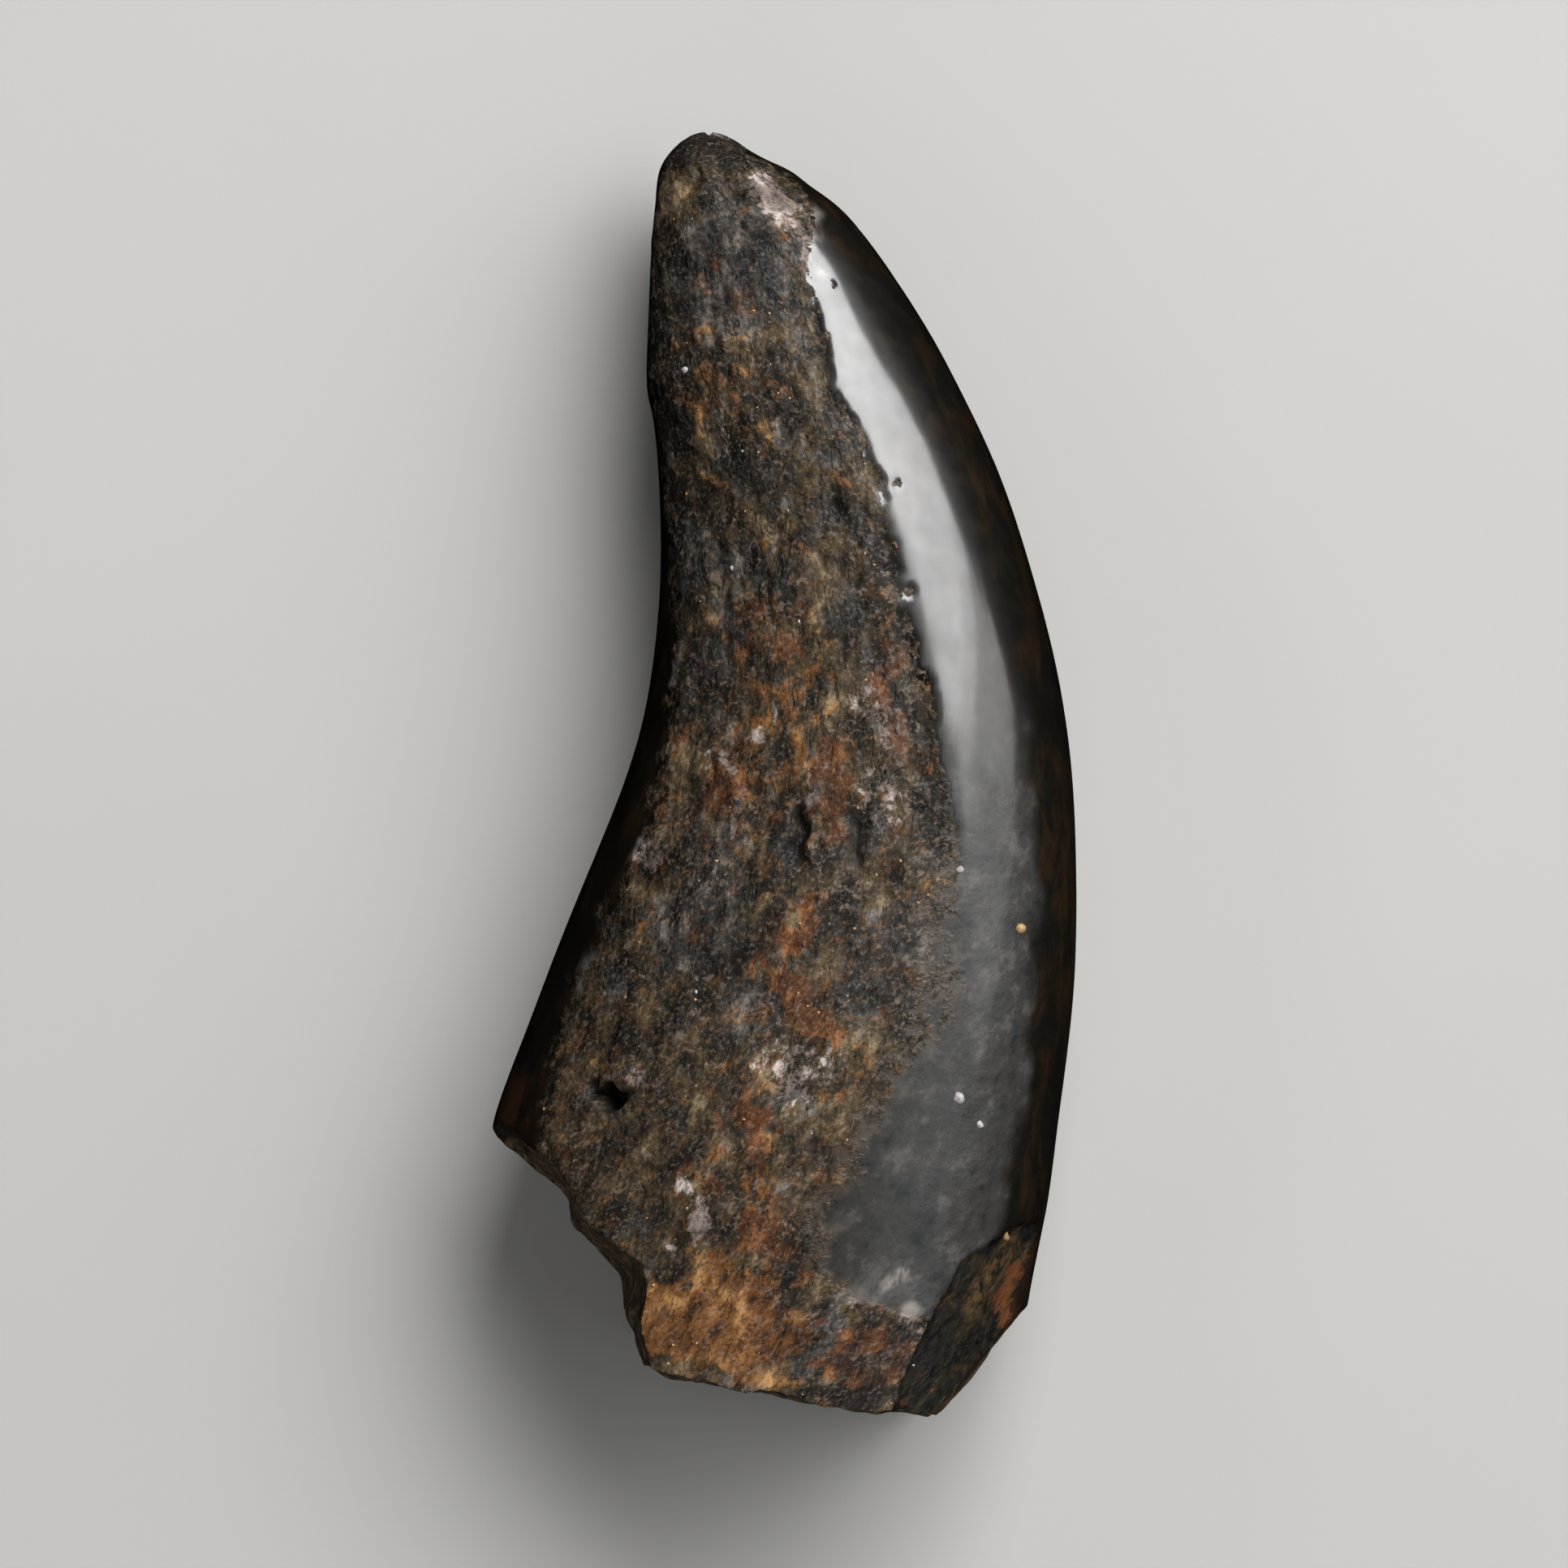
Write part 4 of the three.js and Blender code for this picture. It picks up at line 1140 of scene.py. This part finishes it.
def fossil_material():
    shader = Shader("fossil", curved=True)
    hollow = shader.zone("hollow")
    broken = shader.zone("break")
    # The dark strokes are dents in the bumps, and painted shade in the colour.
    strokes = shader.pattern("dark strokes").ramp(0.44, 0.37)
    crumbs = shader.pattern("border crumbs").ramp(0.34, 0.66, -1, 1)
    worn = worn_share(shader, crumbs)
    flake = (shader.zone("flake") + crumbs * 0.15).ramp(0.4, 0.6)
    matt = shader.maths("MAXIMUM", shader.maths("MAXIMUM", worn, flake), broken)

    base = shader.blend(worn, enamel_colour(shader), weathered_colour(shader, hollow, strokes))
    base = shader.blend(flake, base, flake_colour(shader))
    base = shader.blend(broken, base, dentine_colour(shader, hollow))
    smooth = shader.pattern("enamel roughness").ramp(0.3, 0.8, 0.32, 0.46)
    rough = shader.pattern("worn roughness").ramp(0.3, 0.7, 0.45, 0.8) - shader.zone("pale_and_glint") * 0.1
    shader.set(
        Base_Color=base, Roughness=shader.mix(matt, smooth, rough), IOR=ENAMEL_IOR,
        Normal=fine_relief(shader, matt, strokes), Coat_Weight=coat_weight(shader, matt),
        Coat_Roughness=COAT_ROUGHNESS, Coat_IOR=COAT_IOR)
    return shader.material


def grain_material():
    shader = Shader("sediment")
    tone = shader.blend(shader.zone("kind").ramp(0.4, 0.6), SAND, QUARTZ)
    tone = shader.blend(shader.pattern("sand colour").ramp(0.5, 0.7, 0, 0.6), tone, SAND_STAIN)
    shader.set(Base_Color=tone, Roughness=shader.pattern("sand roughness").ramp(0.3, 0.7, 0.35, 0.6))
    return shader.material


def floor_material():
    shader = Shader("floor")
    tone = shader.blend(shader.pattern("floor"), *FLOOR_TONES)
    shader.set(Base_Color=tone, Roughness=0.75, Specular_IOR_Level=0.25)
    return shader.material


# ---- Camera, floor and light ----

FRAME_WIDTH = 110.7  # millimetres across the picture at the height of the tooth's outline
FRAME_CENTRE = (-0.06, -1.09)
OUTLINE_HEIGHT = 12.0
CAMERA_DISTANCE = 600.0
SENSOR_WIDTH = 36.0
FLOOR_REACH = 3.0  # half its width, in metres


def make_camera():
    data = bpy.data.cameras.new("camera")
    data.sensor_width = SENSOR_WIDTH
    data.lens = SENSOR_WIDTH * CAMERA_DISTANCE / FRAME_WIDTH
    data.clip_start = 0.01
    data.clip_end = 20
    camera = new_object("camera", data)
    camera.location = Vector((*FRAME_CENTRE, OUTLINE_HEIGHT + CAMERA_DISTANCE)) * MM
    bpy.context.scene.camera = camera


def make_floor():
    mesh = bpy.data.meshes.new("floor")
    corners = [(x * FLOOR_REACH, y * FLOOR_REACH, 0) for x, y in ((-1, -1), (1, -1), (1, 1), (-1, 1))]
    mesh.from_pydata(corners, [], [(0, 1, 2, 3)])
    mesh.materials.append(floor_material())
    floor = new_object("floor", mesh)
    floor.visible_glossy = False  # as if flagged off in a studio, so that the dark enamel stays dark


# The key is a bank of soft boxes in one plane, a metre from the tooth. Its middle lies KEY_TOWARDS, and the
# boxes are placed by their spans along KEY_ALONG and across it, in metres: (from, to, from, to, radiance).
KEY_TOWARDS = Vector((0.60, 0.47, 0.64)).normalized()
KEY_ALONG = Vector((-0.74, 0.63, 0.23)).normalized()
KEY_DISTANCE = 1.0
KEY_BOXES = [
    (0.35, 0.80, -0.28, 0.33, 11.6), (0.20, 0.35, -0.26, 0.36, 8.9), (0.04, 0.20, -0.25, 0.40, 7.6),
    (-0.08, 0.04, -0.23, 0.42, 7.9), (-0.20, -0.08, -0.20, 0.40, 6), (-0.34, -0.20, -0.24, 0.42, 2.6),
    (-0.66, -0.34, -0.32, 0.45, 2.9),
]

# A weak box overhead for the sheen of the face, and a weak sky.
SHEEN_TOWARDS = Vector((0.50, -0.12, 0.86)).normalized()
SHEEN_SIZE = (0.5, 0.5)
SHEEN_RADIANCE = 1.0
SHEEN_TINT = (0.93, 0.97, 1.0)
SKY_TINT = (0.93, 0.96, 1.0, 1)
SKY_STRENGTH = 0.055

# Weak lights for the sides that the picture doesn't show: (name, direction, long side, size, radiance).
FILLS = [
    ("fill_rear", Vector((-0.72, 0.10, 0.69)).normalized(), Vector((0, 1, 0)), (1.4, 0.25), 0.9),
    ("fill_base", Vector((0.05, -0.94, 0.34)).normalized(), Vector((1, 0, 0)), (0.9, 0.35), 2.2),
]


def soft_box(name, centre, towards, along, size, radiance, tint=(1.0, 1.0, 1.0)):
    """A soft box around a centre, in metres, that faces against one direction and lies along another."""
    data = bpy.data.lights.new(name, "AREA")
    data.shape = "RECTANGLE"
    data.size, data.size_y = size
    data.energy = math.pi * size[0] * size[1] * radiance
    data.color = tint
    light = new_object(name, data)
    across = towards.cross(along).normalized()
    light.matrix_world = Matrix((across.cross(towards), across, towards)).transposed().to_4x4()
    light.location = centre + Vector((0, 0, OUTLINE_HEIGHT * MM))


def make_lights():
    across = KEY_TOWARDS.cross(KEY_ALONG).normalized()
    for number, (low, high, near, far, radiance) in enumerate(KEY_BOXES, 1):
        middle = KEY_TOWARDS * KEY_DISTANCE + KEY_ALONG * (low + high) / 2 + across * (near + far) / 2
        soft_box(f"key_{number}", middle, KEY_TOWARDS, KEY_ALONG, (high - low, far - near), radiance)
    along = Vector((0, 1, 0))
    soft_box("sheen", SHEEN_TOWARDS, SHEEN_TOWARDS, along, SHEEN_SIZE, SHEEN_RADIANCE, SHEEN_TINT)
    for name, towards, along, size, radiance in FILLS:
        soft_box(name, towards, towards, along, size, radiance)


def make_world():
    world = bpy.data.worlds.new("studio")
    world.use_nodes = True
    background = world.node_tree.nodes["Background"]
    background.inputs["Color"].default_value = SKY_TINT
    background.inputs["Strength"].default_value = SKY_STRENGTH
    bpy.context.scene.world = world
    world.cycles_visibility.glossy = False
    bpy.context.scene.view_settings.view_transform = "Standard"


def dress(obj, material, nodes=()):
    obj.data.materials.clear()
    obj.data.materials.append(material)
    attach(obj, "root")
    if nodes:
        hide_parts(*nodes)


make_camera()
make_floor()
make_world()
make_lights()

tooth = make_tooth()
grains = make_grains(tooth)
dress(tooth, fossil_material(), ["tooth"])
dress(grains, grain_material())
